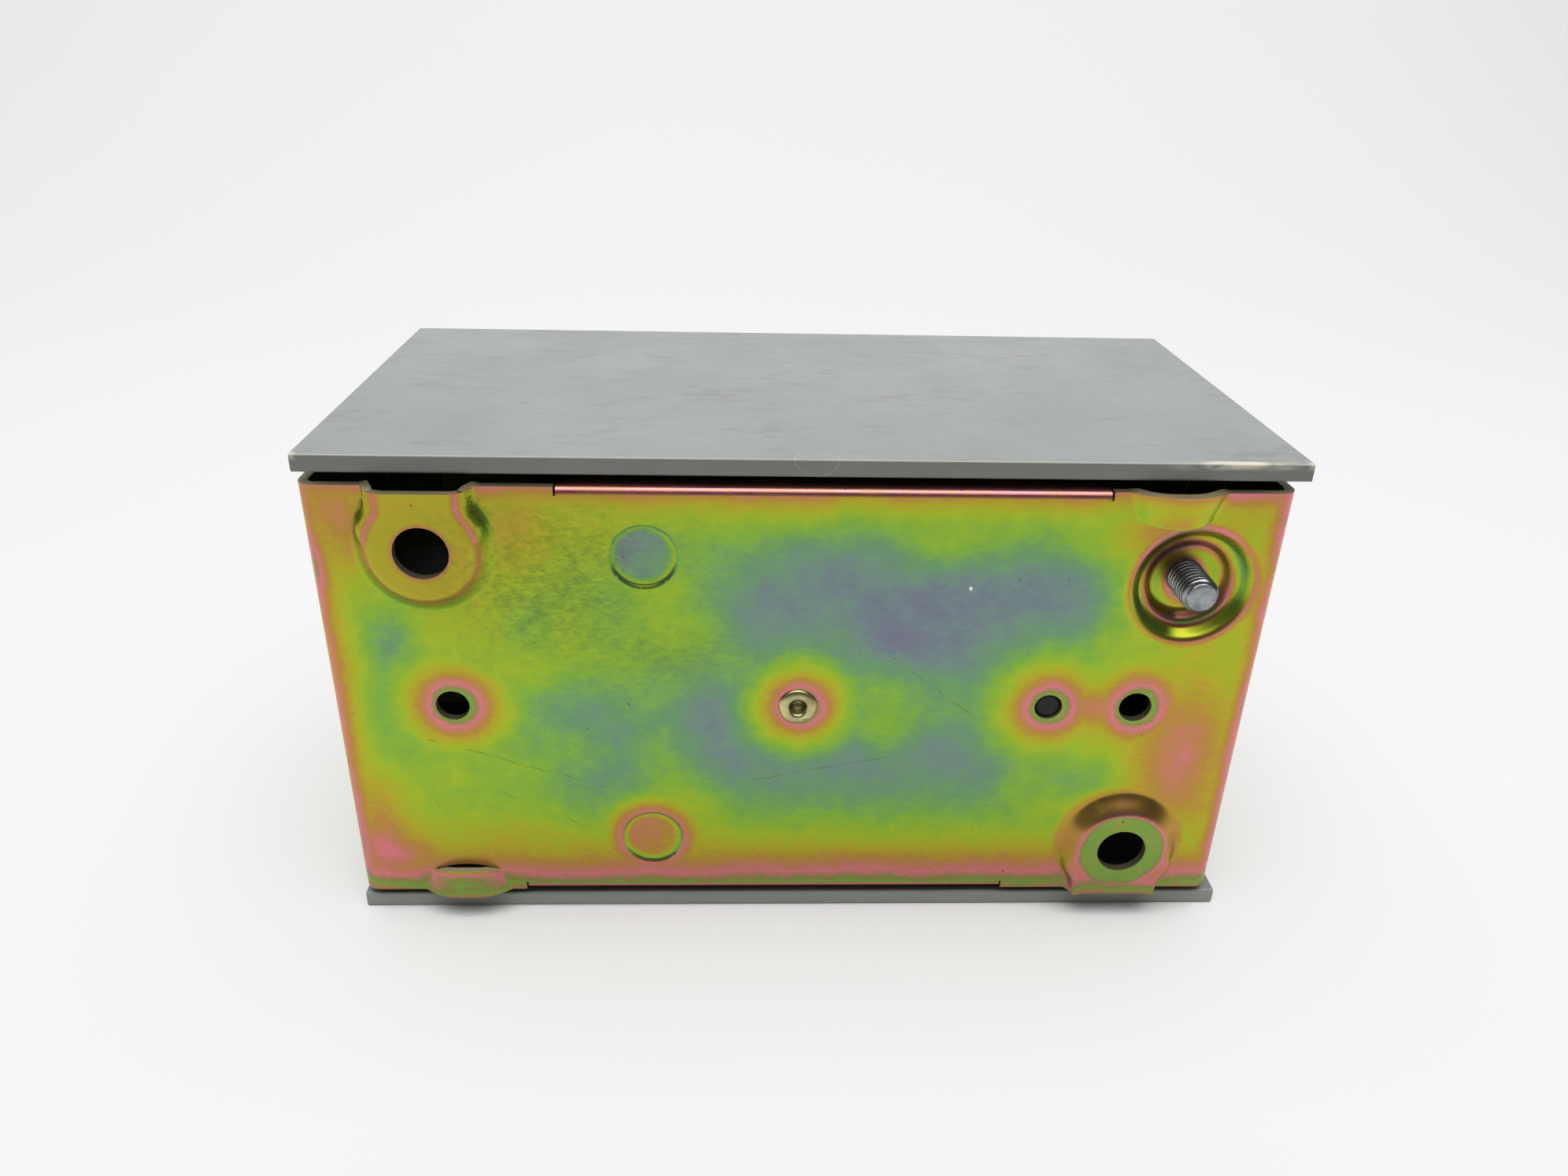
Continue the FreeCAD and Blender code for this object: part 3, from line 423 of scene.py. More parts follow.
def cover_material(low: Vector, high: Vector) -> bpy.types.Material:
    """Grey moulding with paler rubbed edges, a painted highlight line along the top wall-side edge, painted
    light and shade on the thin wall-side edges, faint smudges and a few scratches.

    Args:
        low: The cover's lowest corner, in metres.
        high: The cover's highest corner, in metres.
    """
    paint = Paint("Grey thermoplastic, injection moulded")
    spot = paint.add("ShaderNodeSeparateXYZ", {"Vector": paint.place}).outputs
    broad, fine, grit = paint.noise(16.0, 3.0), paint.noise(0.35, 4.0), paint.noise(1.4, 5.0, (0.4, 1, 1))
    colour = paint.mix(paint.ramp(broad, 0.3, 0.7), "#8f9290", "#8b8e8c")
    smudge = paint.ramp(paint.times(paint.noise(12.0, 4.0, (0.8, 1, 1)), grit), 0.30, 0.42)
    colour = paint.mix(paint.times(smudge, 0.28), colour, "#6f6d66")
    # Distance in metres below the top face and in from the wall-side edge and the ends.
    down = paint.maths("SUBTRACT", high.z, spot[2])
    back = paint.maths("SUBTRACT", spot[1], low.y)
    side = paint.maths("SUBTRACT", high.x, paint.maths("ABSOLUTE", spot[0]))
    near = paint.maths("MAXIMUM", down, back)
    edge = paint.ramp(near, 0.0, 0.45 * MM, 1.0, 0.0)
    worn_and_highlight = paint.times(edge, paint.ramp(paint.noise(3.5, 5.0, (0.6, 1, 1)), 0.44, 0.66))
    # The long cream streak near the right end of the upper wall-side edge.
    streak = paint.times(paint.ramp(spot[0], 44 * MM, 50 * MM), paint.ramp(spot[0], 62.5 * MM, 58 * MM))
    streak = paint.times(streak, paint.ramp(near, 0.5 * MM, 1.1 * MM, 1.0, 0.0))
    streak = paint.times(streak, paint.ramp(paint.noise(2.2, 5.0, (0.3, 1, 1)), 0.40, 0.55))
    corner = paint.ramp(paint.maths("MAXIMUM", near, side), 0.4 * MM, 1.0 * MM, 0.6, 0.0)
    # A curved nail mark on the wall-side edge, a little right of the middle.
    ring = paint.distance((0.9 * MM, low.y, high.z + 0.6 * MM))
    ring = paint.maths("ABSOLUTE", paint.maths("SUBTRACT", ring, 2.9 * MM))
    mark = paint.times(paint.ramp(ring, 0.04 * MM, 0.12 * MM, 0.3, 0.0), paint.ramp(grit, 0.4, 0.5))
    # Painted highlight: a thin pale line along the top face's wall-side edge, where a rounded edge would catch
    # the light; below it joins the real rubbed wear of the edge.
    line = paint.ramp(near, 0.12 * MM, 0.3 * MM, 0.3, 0.0)
    worn_and_highlight = paint.maths("MAXIMUM", line, paint.times(worn_and_highlight, 0.3))
    pale = paint.maths("MAXIMUM", worn_and_highlight, paint.maths("MAXIMUM", streak, corner))
    pale = paint.maths("MAXIMUM", pale, mark)
    colour = paint.mix(pale, colour, "#cfcab8")
    # The thin wall-side edges carry painted light and shade: the lower one is painted lighter, as where the
    # floor throws light up on it, and the upper one is painted darker.
    face = paint.ramp(back, 0.02 * MM, 0.3 * MM, 0.55, 0.0)
    tone = paint.mix(paint.ramp(spot[2], low.z, high.z), "#a9ada4", "#76786f")
    colour = paint.mix(paint.times(face, paint.ramp(pale, 0.0, 0.5, 1.0, 0.2)), colour, tone)
    rough = paint.ramp(paint.maths("ADD", broad, grit), 0.7, 1.3, 0.31, 0.42)
    normal = paint.bump(fine, 0.004)
    normal = paint.bump(paint.noise(28.0, 1.0), 0.05, normal)
    return paint.surface(Base_Color=colour, Metallic=0.0, Roughness=rough, Normal=normal, IOR=1.7)


# --- Pan ----------------------------------------------------------------------------------------------


@dataclass
class PanSize:
    """Sizes of the pressed pan, in mm, about the middle of its back."""

    length: float
    height: float
    sheet: float = 1.2
    bend: float = 2.2
    depth: float = 62.25
    ear_bend: float = 1.5
    ear_reach: float = 12.5
    ear_half: float = 11.0
    lip_bend: float = 1.0
    lip_depth: float = 8.0
    lip_from: float = -30.9
    lip_to: float = 38.8
    relief: float = 0.25
    pad: tuple[float, float] = (-47.7, 23.4)
    pad_radius: float = 9.0
    pad_slope: float = 2.8
    pinch: float = 2.1
    pad_rise: float = 1.95
    neck_half: float = 6.8
    draw_in: float = 0.4
    wall_hole: float = 3.5
    bump_x: float = 47.4
    bump_half: float = 6.2
    bump_length: float = 3.8
    slit_half: float = 4.7
    slit_height: float = 0.25
    slit_bow: float = 0.6
    dish: tuple[float, float] = (51.3, 18.6)
    disc_x: float = -20.3
    disc_z: float = 22.3
    disc: float = 4.3
    disc_sink: float = 0.3
    spare_x: float = 46.6
    spare: float = 2.25
    pin_x: float = 34.5
    pin_hole: float = 1.9
    rivet_hole: float = 1.6
    screw_hole: float = 2.45
    knockout: float = 11.1
    knockout_along: float = 22.65
    knockout_z: float = 15.0
    step: float = 0.5


class Path:
    """A strip's route in a plane: straight runs and quarter-turns, read by length along it."""

    def __init__(self, runs: Sequence[tuple[float, float]]) -> None:
        """Lays the route out.

        Args:
            runs: Pairs of a straight length and the radius of the quarter-turn after it, in mm.
        """
        here, heading, walked, rows = np.zeros(2), 0.0, 0.0, []
        for straight, radius in runs:
            for share in np.linspace(0, 1, 2):
                spot = here + share * straight * np.array([math.cos(heading), math.sin(heading)])
                rows.append([walked + share * straight, *spot, heading])
            here, walked = np.array(rows[-1][1:3]), walked + straight
            hub = here + radius * np.array([-math.sin(heading), math.cos(heading)])
            for turn in np.linspace(0, math.pi / 2, 13)[1:] if radius else []:
                a = heading + turn
                spot = hub + radius * np.array([math.sin(a), -math.cos(a)])
                rows.append([walked + radius * turn, *spot, a])
            if radius:
                here, heading = np.array(rows[-1][1:3]), heading + math.pi / 2
                walked += radius * math.pi / 2
        self.rows, self.length = np.array(rows), walked

    def at(self, along: np.ndarray) -> tuple[np.ndarray, np.ndarray, np.ndarray]:
        """Across, deep and heading at each length along the route."""
        return tuple(np.interp(along, self.rows[:, 0], self.rows[:, k]) for k in (1, 2, 3))


class Pan:
    """The pressed sheet-steel pan, made as a flat blank that is embossed and then folded."""

    def __init__(self, size: PanSize, centre: Vector) -> None:
        """Keeps the sizes and works out the fold lines.

        Args:
            size: The pan's sizes.
            centre: Middle of the back's outer face, in metres.
        """
        self.size, self.centre = size, centre
        self.half = size.height / 2
        flat = size.length / 2 - size.bend
        wall = size.depth - size.bend - size.ear_bend
        self.ends = Path([(flat, size.bend), (wall, size.ear_bend), (size.ear_reach - size.ear_bend, 0)])
        self.edges = Path([(self.half - size.lip_bend, size.lip_bend), (size.lip_depth - size.lip_bend, 0)])
        self.fold_x = flat
        self.wall_end = flat + size.bend * math.pi / 2 + wall
        self.fold_z = self.half - size.lip_bend

    @staticmethod
    def turned(x: float, z: float) -> list[tuple[float, float]]:
        """A place and its twin half a turn round the middle of the back."""
        return [(x, z), (-x, -z)]

    def outline(self) -> np.ndarray:
        """Corners of the flat blank, counter-clockwise, in mm."""
        s, half, far = self.size, self.half, self.wall_end
        lip, fold, tip = self.edges.length, self.fold_z - 0.2, self.ends.length
        start, stop = -s.lip_to, -s.lip_from
        bottom = [(-far, -half), (start - s.relief, -half), (start - s.relief, -fold), (start, -fold)]
        bottom += [(start, -lip), (stop, -lip), (stop, -fold), (stop + s.relief, -fold)]
        bottom += [(stop + s.relief, -half), (far, -half), (far, -s.ear_half)]
        bottom += [(tip, -s.ear_half + 2), (tip, s.ear_half - 2), (far, s.ear_half)]
        return np.array(bottom + [(-x, -z) for x, z in bottom])

    def holes(self) -> list[tuple[float, float, float]]:
        """Centre and radius of each round hole in the back."""
        s = self.size
        round_holes = [(x, z, s.wall_hole) for x, z in self.turned(*s.pad)]
        round_holes += [(x, 0.0, s.spare) for x in (-s.spare_x, s.spare_x)]
        return round_holes + [(s.pin_x, 0.0, s.pin_hole), (0.0, 0.0, s.rivet_hole), (*s.dish, s.screw_hole)]

    def slits(self) -> list[np.ndarray]:
        """Outlines of the two lanced slits beside the half-moon bumps."""
        s = self.size
        z = self.half - s.bump_length
        across = np.linspace(-s.slit_half, s.slit_half, 40)
        bowed = z - s.slit_bow * (1 - (across / s.slit_half) ** 2)
        thin = s.slit_height * (1.02 - (across / s.slit_half) ** 2)
        slit = np.concatenate([np.stack([across, bowed - thin], 1), np.stack([across, bowed], 1)[::-1]])
        slit[:, 0] += s.bump_x
        return [slit, -slit]

    def knockout_cuts(self) -> list[np.ndarray]:
        """Outlines of the half-ring cuts round the knockouts in the end walls."""
        s, cuts = self.size, []
        along = self.fold_x + s.bend * (math.pi / 2 - 1) + s.knockout_along
        for side in (-1, 1):
            for z in (-s.knockout_z, s.knockout_z):
                for start in (0.0, math.pi):
                    turn = start + np.linspace(0.14, math.pi - 0.14, 48)
                    ring = np.concatenate([turn, turn[::-1]])
                    radius = np.repeat([s.knockout, s.knockout - 0.25], 48)
                    across, up = radius * np.cos(ring), radius * np.sin(ring)
                    cuts.append(np.stack([side * along + across, z + up], 1))
        return cuts

    def zones(self) -> list[tuple[float, float, float, float]]:
        """Places that get rings of points: centre, and the radius of the first and the last ring."""
        s = self.size
        reach = {tuple(s.dish): 8.9}
        reach.update({(x, z): 9.8 for x, z in self.turned(*s.pad)})
        zones = [(x, z, r, reach.get((x, z), r + 1.6)) for x, z, r in self.holes()]
        return zones + [(s.disc_x, z, 0.4, 4.8) for z in (s.disc_z, -s.disc_z)]

    def on_lip(self, x: np.ndarray, z: np.ndarray, slack: float) -> np.ndarray:
        """Whether each point lies along its edge lip's length, or within slack mm of it."""
        along = x * np.sign(z)
        return (along > self.size.lip_from - slack) & (along < self.size.lip_to + slack)

    def grid_points(self) -> np.ndarray:
        """Points on a square grid, closer together along the folds and left out round each zone."""
        s = self.size
        xs = np.arange(-self.fold_x, self.fold_x + s.step, s.step)
        zs = np.arange(-self.half + 0.3, self.half, s.step)
        bend = np.linspace(self.fold_x, self.fold_x + s.bend * math.pi / 2, 9)[1:]
        wall = np.arange(bend[-1], self.ends.length, 3.0)[1:]
        turn = np.linspace(self.wall_end, self.wall_end + s.ear_bend * math.pi / 2, 7)
        xs = np.concatenate([-turn[::-1], -wall[::-1], -bend[::-1], xs, bend, wall, turn])
        lip = np.linspace(self.fold_z, self.fold_z + s.lip_bend * math.pi / 2, 7)
        x, z = (a.ravel() for a in np.meshgrid(xs, np.concatenate([zs, lip, -lip])))
        ok = np.where(np.abs(z) > self.half - 0.2, self.on_lip(x, z, -0.2), True)
        ok &= (np.abs(x) < self.wall_end) | (np.abs(z) < s.ear_half - 2.2)
        for cx, cz, _, outer in self.zones():
            ok &= np.hypot(x - cx, z - cz) > outer
        return np.stack([x, z], 1)[ok]

    def ring_points(self) -> tuple[list[np.ndarray], list[np.ndarray]]:
        """Rings of points round every zone.

        Returns:
            The free rings, and the closed loops that cut the holes out.
        """
        s, points, loops = self.size, [], []
        for cx, cz, inner, outer in self.zones():
            count = max(2, round((outer - inner) / 0.36))
            for n, radius in enumerate(np.linspace(inner, outer - 0.1, count)):
                turn = np.arange(max(36, round(radius * 2 * math.pi / 0.42)))
                turn = turn * 2 * math.pi / len(turn) + 0.5 * n
                ring = np.stack([cx + radius * np.cos(turn), cz + radius * np.sin(turn)], 1)
                if inner > 0.5 and n == 0:
                    loops.append(ring)
                else:
                    points.append(ring[np.abs(ring[:, 1]) < self.half - 0.15])
        turn = np.arange(120) * 2 * math.pi / 120
        for z in (s.disc_z, -s.disc_z):
            for radius in (s.disc - 0.1, s.disc + 0.02):
                points.append(np.stack([s.disc_x + radius * np.cos(turn), z + radius * np.sin(turn)], 1))
        return points, loops

    def blank(self) -> tuple[np.ndarray, np.ndarray]:
        """Cuts the flat blank into triangles.

        Points lie on a square grid over the back, on rings round every hole, dish and disc, and along each
        cut; a constrained triangulation joins them, and triangles inside a hole are dropped.

        Returns:
            The blank's points in mm, and its triangles.
        """
        points, loops = self.ring_points()
        cuts = loops + self.slits() + self.knockout_cuts()
        rows, edges, start = [], [], 0
        for loop in [along_sides(self.outline(), self.size.step), *cuts]:
            n = np.arange(len(loop))
            edges.append(np.stack([n, (n + 1) % len(loop)], 1) + start)
            rows.append(loop)
            start += len(loop)
        every = np.concatenate([*rows, self.grid_points(), *points])
        found = delaunay_2d_cdt([Vector(p) for p in every], np.concatenate(edges).tolist(), [], 0, 1e-5)
        flat = np.array([tuple(v) for v in found[0]])
        triangles = np.array(found[2])
        middle = flat[triangles].mean(1)
        inside = polygon_holds(self.outline(), middle)
        for loop in cuts:
            inside &= ~polygon_holds(loop, middle)
        return flat, triangles[inside]

    def pad_field(self, x: np.ndarray, z: np.ndarray) -> np.ndarray:
        """How far each point stands inside the nearer wall-screw pad and its neck, in mm."""
        s = self.size
        field = np.full(x.shape, -9.0)
        for cx, cz in self.turned(*s.pad):
            dx, out = x - cx, (z - cz) * np.sign(cz)
            circle = np.hypot(dx, out) - s.pad_radius
            neck = np.where(out > 0, np.abs(dx) - s.neck_half, 9.0)
            field = np.maximum(field, -soft_min(circle, neck, 0.8))
        return field

    def rise(self, x: np.ndarray, z: np.ndarray) -> np.ndarray:
        """Height of the embossing above the back at each point, in mm; dishes are below zero."""
        s = self.size
        climb = self.pad_field(x, z) / (s.pad_slope - s.pinch * smooth((np.abs(z) - s.pad[1] + 0.5) / 4.5))
        height = s.pad_rise * (0.5 * smooth(climb) + 0.5 * np.clip(climb, 0, 1))
        for cx, cz in self.turned(s.bump_x, self.half):
            inwards = (cz - z) * np.sign(cz)
            half = s.bump_half - 1.5 * np.clip(inwards / s.bump_length, 0, 1)
            across = np.clip(1 - (np.abs(x - cx) / half) ** 2.8, 0, 1)
            bow = s.slit_bow * np.clip(1 - ((x - cx) / s.slit_half) ** 2, 0, 1)
            raised = inwards < s.bump_length + bow + 0.004
            along = np.where(raised, 1.0 - 0.18 * inwards / s.bump_length, 0.0)
            height += s.pad_rise * across * along
        radius = np.hypot(x - s.dish[0], z - s.dish[1])
        outer = 1.6 * smooth((8.25 - radius) / 1.9)
        height -= outer + 1.3 * smooth((6.0 - radius) / 1.3)
        for cz in (s.disc_z, -s.disc_z):
            height -= s.disc_sink * (np.hypot(x - s.disc_x, z - cz) < s.disc - 0.04)
        return height

    def film(self, x: np.ndarray, z: np.ndarray) -> np.ndarray:
        """Thickness of the chromate film at each point, from 0 (bare edge) to 1.

        It thins towards edges, folds and holes as 1 - exp(-distance / reach), and drifts between broad
        patches over the back.
        """
        thick = 0.66 + 0.07 * value_noise(x, z, 15.0, 5) + 0.05 * value_noise(x, z, 6.0, 6)
        for *oval, amount in PATCHES:
            thick += amount * oval_spot(x, z, *oval)
        thick = self.film_by_edges(thick, x, z)
        thick = self.film_by_pads(thick, x, z)
        thick = self.film_by_dish(thick, x, z)
        return self.film_by_discs(thick, x, z)

    def film_by_edges(self, thick: np.ndarray, x: np.ndarray, z: np.ndarray) -> np.ndarray:
        """The film thinned towards the long edges, both folds of the end walls, and every hole."""
        s = self.size
        wander = value_noise(x, z, 7.0, 3) * 1.0 + value_noise(x, z, 2.6, 4) * 0.35
        long_edge = np.clip(self.half - np.abs(z), 0, None)
        back_fold = np.abs(self.fold_x + 1.2 - np.abs(x))
        ends = np.minimum(back_fold, np.abs(self.wall_end - np.abs(x)) + 2.5)
        upper = 0.29 + 0.71 * (1 - np.exp(-(long_edge + 0.5 * wander) / 6.0))
        lower = 0.03 + 0.97 * (1 - np.exp(-(long_edge + 0.5 * wander) / 11.0))
        thick = soft_min(thick, np.where(z > 0, upper, lower), 0.08)
        thick = soft_min(thick, 0.27 + 0.73 * (1 - np.exp(-(ends + 0.6 * wander) / 5.0)), 0.08)
        # Distance that the thinning skips and the film at its edge, for the holes that differ.
        starts = {s.rivet_hole: (1.0, 0.2), s.wall_hole: (0.0, 0.9)}
        for cx, cz, r in self.holes():
            skip, start = starts.get(r, (0.0, 0.09))
            away = np.clip(np.hypot(x - cx - 0.3, z - cz) - r - skip, 0, None)
            near = start + 0.9 * (1 - np.exp(-(away + 0.12 * wander) / 6.0))
            thick = soft_min(thick, near, 0.05)
        return thick

    def film_by_pads(self, thick: np.ndarray, x: np.ndarray, z: np.ndarray) -> np.ndarray:
        """The film with the two wall-screw pads and the lower half-moon bump in their own colours."""
        s = self.size
        # The upper pad is olive, with pink and green lines where its floor starts to climb.
        field = self.pad_field(x, z) * (z > 0)
        line = np.exp(-(((field - 1.9) / 0.45) ** 2))
        thick = np.where(field > 0, thick + (0.50 - thick) * smooth(field / 1.5) - 0.22 * line, thick)
        away = np.hypot(x - s.pad[0], z - s.pad[1]) - s.wall_hole
        thick = soft_min(thick, 0.34 + 0.3 * np.clip(away, 0, None), 0.04)
        # The lower pad keeps a green ring that turns pink-brown on its slope.
        away = np.hypot(x + s.pad[0], z + s.pad[1]) - s.wall_hole
        slope = 0.11 + 0.2 * smooth((away - 1.9) / 1.6)
        thick = soft_min(thick, slope + 1.2 * smooth((away - 4.2) / 8.0), 0.03)
        # The lower half-moon bump is green down to its copper edge.
        nose = np.exp(-(((x + s.bump_x) / 6.2) ** 4) - ((z + self.half - 2.1) / 1.6) ** 4)
        return thick + (0.14 - thick) * nose

    def film_by_dish(self, thick: np.ndarray, x: np.ndarray, z: np.ndarray) -> np.ndarray:
        """The film with bands of pink, gold and green that run round the ground screw's dish."""
        dx, dz = x - self.size.dish[0], z - self.size.dish[1]
        out, turn = np.hypot(dx, dz), np.arctan2(dz, dx)
        bands = 0.36 + 0.2 * np.sin(2.0 * out + 0.7 * np.sin(turn)) + 0.1 * np.sin(2 * turn + 0.8)
        return thick + (bands - thick) * smooth((9.4 - out) / 1.6)

    def film_by_discs(self, thick: np.ndarray, x: np.ndarray, z: np.ndarray) -> np.ndarray:
        """The film on the half-sheared discs: violet above, pink-orange with a green rim below."""
        s = self.size
        for cz, level, lean, rim in ((s.disc_z, 0.86, -0.05, -0.3), (-s.disc_z, 0.38, 0.06, 0.32)):
            away = np.hypot(x - s.disc_x, z - cz)
            if cz < 0:
                thick = soft_min(thick, 0.24 + 0.13 * (away - s.disc), 0.05)
            disc = level + lean * ((x - s.disc_x) - (z - cz)) / s.disc
            disc += rim * smooth((away - s.disc + 1.4) / 1.6)
            thick = np.where(away < s.disc, disc, thick)
        return thick

    def steepness(self, x: np.ndarray, z: np.ndarray) -> np.ndarray:
        """Change in height over a short step along X plus that along Z, in mm."""
        step = 0.15
        along_x = np.abs(self.rise(x + step, z) - self.rise(x - step, z))
        return along_x + np.abs(self.rise(x, z + step) - self.rise(x, z - step))

    def beside_slit(self, x: np.ndarray, z: np.ndarray) -> np.ndarray:
        """Whether each point lies on the edge of a lanced slit."""
        s = self.size
        near = (x * z > 0) & (np.abs(np.abs(x) - s.bump_x) < s.slit_half + 0.2)
        return near & (np.abs(self.half - s.bump_length - np.abs(z)) < s.slit_bow + s.slit_height + 0.1)

    def build(self) -> bpy.types.Object:
        """Makes the pan: embosses the blank, folds it, and gives it the sheet's thickness."""
        flat, triangles = self.blank()
        s = self.size
        x, z = flat[:, 0], flat[:, 1]
        on_back = np.abs(x) <= self.fold_x
        height = np.where(on_back, self.rise(x, z), 0.0)
        across, deep, heading = self.ends.at(np.abs(x))
        normal = np.stack([np.sin(heading) * np.sign(x), -np.cos(heading), np.zeros_like(x)], 1)
        place = np.stack([across * np.sign(x), deep, z], 1)
        lipped = (np.abs(z) > self.fold_z) & self.on_lip(x, z, 0.1)
        up, back, tip = self.edges.at(np.abs(z))
        folded = np.stack([x, back, up * np.sign(z)], 1)
        place = np.where(lipped[:, None], folded, place)
        leaning = np.stack([np.zeros_like(x), -np.cos(tip), np.sin(tip) * np.sign(z)], 1)
        normal = np.where(lipped[:, None], leaning, normal)
        pull = s.draw_in * smooth(self.pad_field(x, z) / s.pad_slope)
        pull *= smooth((np.abs(z) - self.half + 3) / 3)
        place[:, 2] -= pull * np.sign(z) * on_back
        place += normal * height[:, None]
        film = self.film(x, z) + 0.16 * np.clip(self.steepness(x, z), 0, 0.6) / 0.6 * on_back
        film = np.where(lipped, 0.29 + 0.03 * value_noise(x, z, 9.0, 8), film)
        # Painted shade: the folded lips are darkened the deeper they run in under the cover, where its shadow
        # falls.
        lip_painted_shade = np.where(lipped, smooth((back - 0.5) / 1.6), 0.0)
        scuff = sum(amount * oval_spot(x, z, *oval) for *oval, amount in SCUFFS)
        sheared = np.where(self.beside_slit(x, z), 1.0, 0.35)
        return self.thicken(place, triangles, film, sheared, {"scuff": np.clip(scuff, 0, 1), "lip_painted_shade": lip_painted_shade})

    def thicken(
        self,
        place: np.ndarray,
        triangles: np.ndarray,
        film: np.ndarray,
        sheared: np.ndarray,
        marks: dict[str, np.ndarray],
    ) -> bpy.types.Object:
        """Adds the inner face and the cut edges, whose own vertices keep their corners sharp.

        Args:
            place: Points of the outer face, in mm.
            triangles: The outer face's triangles.
            film: Film thickness at each point.
            sheared: How bright the cut edge is at each point, from 0 to 1.
            marks: Amount of each kind of wear, and of the painted shade inside the folded lips, at each point,
                by attribute name.
        """
        a, b, c = (place[triangles[:, k]] for k in range(3))
        facing = np.cross(b - a, c - a)
        normal = np.zeros_like(place)
        for k in range(3):
            np.add.at(normal, triangles[:, k], facing)
        normal /= np.linalg.norm(normal, axis=1, keepdims=True) + 1e-12
        inner = place - normal * self.size.sheet
        n = len(place)
        edges = np.concatenate([triangles[:, [0, 1]], triangles[:, [1, 2]], triangles[:, [2, 0]]])
        keys = edges.min(1) * n + edges.max(1)
        _, first, counts = np.unique(keys, return_index=True, return_counts=True)
        rim = edges[first[counts == 1]]
        m = len(rim)
        rim_points = np.concatenate([place[rim[:, 0]], place[rim[:, 1]], inner[rim[:, 1]], inner[rim[:, 0]]])
        base = 2 * n + np.arange(m)
        quads = np.stack([base, base + 3 * m, base + 2 * m, base + m], 1)
        points = np.concatenate([place, inner, rim_points]) * MM + np.array(self.centre)
        cut_edge = np.zeros(4 * m)
        bright_first, bright_second = sheared[rim[:, 0]], sheared[rim[:, 1]]
        fields = {"film": np.concatenate([film, film * 0 + 0.6, cut_edge])}
        for key, mark in marks.items():
            fields[key] = np.concatenate([mark, mark * 0, cut_edge])
        bright = [bright_first, bright_second, bright_second, bright_first]
        fields["bare"] = np.concatenate([film * 0, film * 0, *bright])
        faces = [*triangles, *(triangles[:, ::-1] + n), *quads]
        return make_mesh("pan_pressing", points, faces, fields)


def along_sides(loop: np.ndarray, step: float) -> np.ndarray:
    """The same closed outline with points no further apart than the step."""
    rows = []
    for a, b in zip(loop, np.roll(loop, -1, 0)):
        count = max(1, math.ceil(float(np.hypot(*(b - a))) / step))
        rows.append(a + (b - a) * (np.arange(count) / count)[:, None])
    return np.concatenate(rows)


def polygon_holds(loop: np.ndarray, points: np.ndarray) -> np.ndarray:
    """Whether each point lies inside a polygon, by counting the sides a ray to its right crosses."""
    x, z = points[:, 0][:, None], points[:, 1][:, None]
    a, b = loop, np.roll(loop, -1, 0)
    straddles = (a[:, 1] > z) != (b[:, 1] > z)
    slope = (b[:, 0] - a[:, 0]) / np.where(b[:, 1] == a[:, 1], 1e-9, b[:, 1] - a[:, 1])
    return ((x < a[:, 0] + slope * (z - a[:, 1])) & straddles).sum(1) % 2 == 1


# Where the film is thicker (violet) or thinner (gold): centre x and z, reach in x and z, amount.
PATCHES = (
    (18.0, 12.0, 13.0, 9.5, 0.38),
    (33.0, 16.0, 10.0, 7.0, 0.26),
    (6.0, 24.0, 6.0, 5.0, 0.26),
    (-4.0, 16.0, 10.0, 8.0, 0.18),
    (2.0, -10.0, 12.0, 6.5, 0.30),
    (22.0, -9.5, 8.0, 7.0, 0.32),
    (-10.0, -4.0, 9.0, 8.0, 0.22),
    (-28.0, -1.0, 9.0, 6.0, 0.22),
    (-54.0, 9.0, 3.5, 5.0, 0.14),
    (12.0, -18.0, 15.0, 5.5, 0.18),
    (42.0, -12.0, 5.0, 3.5, 0.14),
    (-26.0, -12.0, 9.0, 4.0, 0.12),
    (-36.0, 26.0, 13.0, 8.0, -0.16),
    (-57.0, 26.0, 7.0, 8.0, -0.24),
    (-14.0, 29.0, 10.0, 4.0, -0.10),
    (55.0, -5.0, 8.0, 15.0, -0.34),
    (40.5, 0.0, 7.5, 3.6, -0.34),
    (46.0, 27.0, 7.0, 5.0, -0.28),
    (46.5, 32.5, 4.5, 1.8, 0.45),
    (57.0, 28.0, 5.0, 5.0, -0.10),
    (-59.0, -19.0, 6.0, 9.0, -0.30),
    (-55.0, -26.0, 8.0, 4.0, -0.20),
    (-42.0, -21.0, 11.0, 4.5, -0.10),
    (-20.0, -24.0, 8.0, 5.0, -0.10),
)
# Long hair scratches, from (x, z) to (x, z), and one white fleck of dried paint.
SCRATCHES = (
    ((-55.0, 30.0), (-24.0, 20.0)),
    ((-44.0, 20.5), (-28.0, 13.0)),
    ((12.0, 42.0), (27.0, 30.0)),
    ((-8.0, 22.0), (14.0, 26.0)),
)
FLECK = (0.0215, -0.03285, 0.0535)
# Rubbed places: centre x and z, reach in x and z, amount.
SCUFFS = (
    (-34.0, 15.0, 12.0, 7.0, 0.95),
    (-31.0, 25.0, 13.0, 7.0, 0.85),
    (-18.0, 8.0, 9.0, 4.0, 0.6),
    (-47.0, 23.0, 8.0, 8.0, 0.6),
)


# --- Turned pieces --------------------------------------------------------------------------------------


@dataclass
class ScrewSize:
    """Sizes of the ground screw, in mm; lengths run from its tip."""

    radius: float = 2.41
    root: float = 1.86
    pitch: float = 0.794
    tip_radius: float = 1.85
    tip_length: float = 0.65
    length: float = 8.8
    head_radius: float = 4.7
    head_height: float = 2.8
    head_round: float = 1.1
    head_flat: float = 3.5
    slot_half: float = 0.6
    slot_depth: float = 1.3


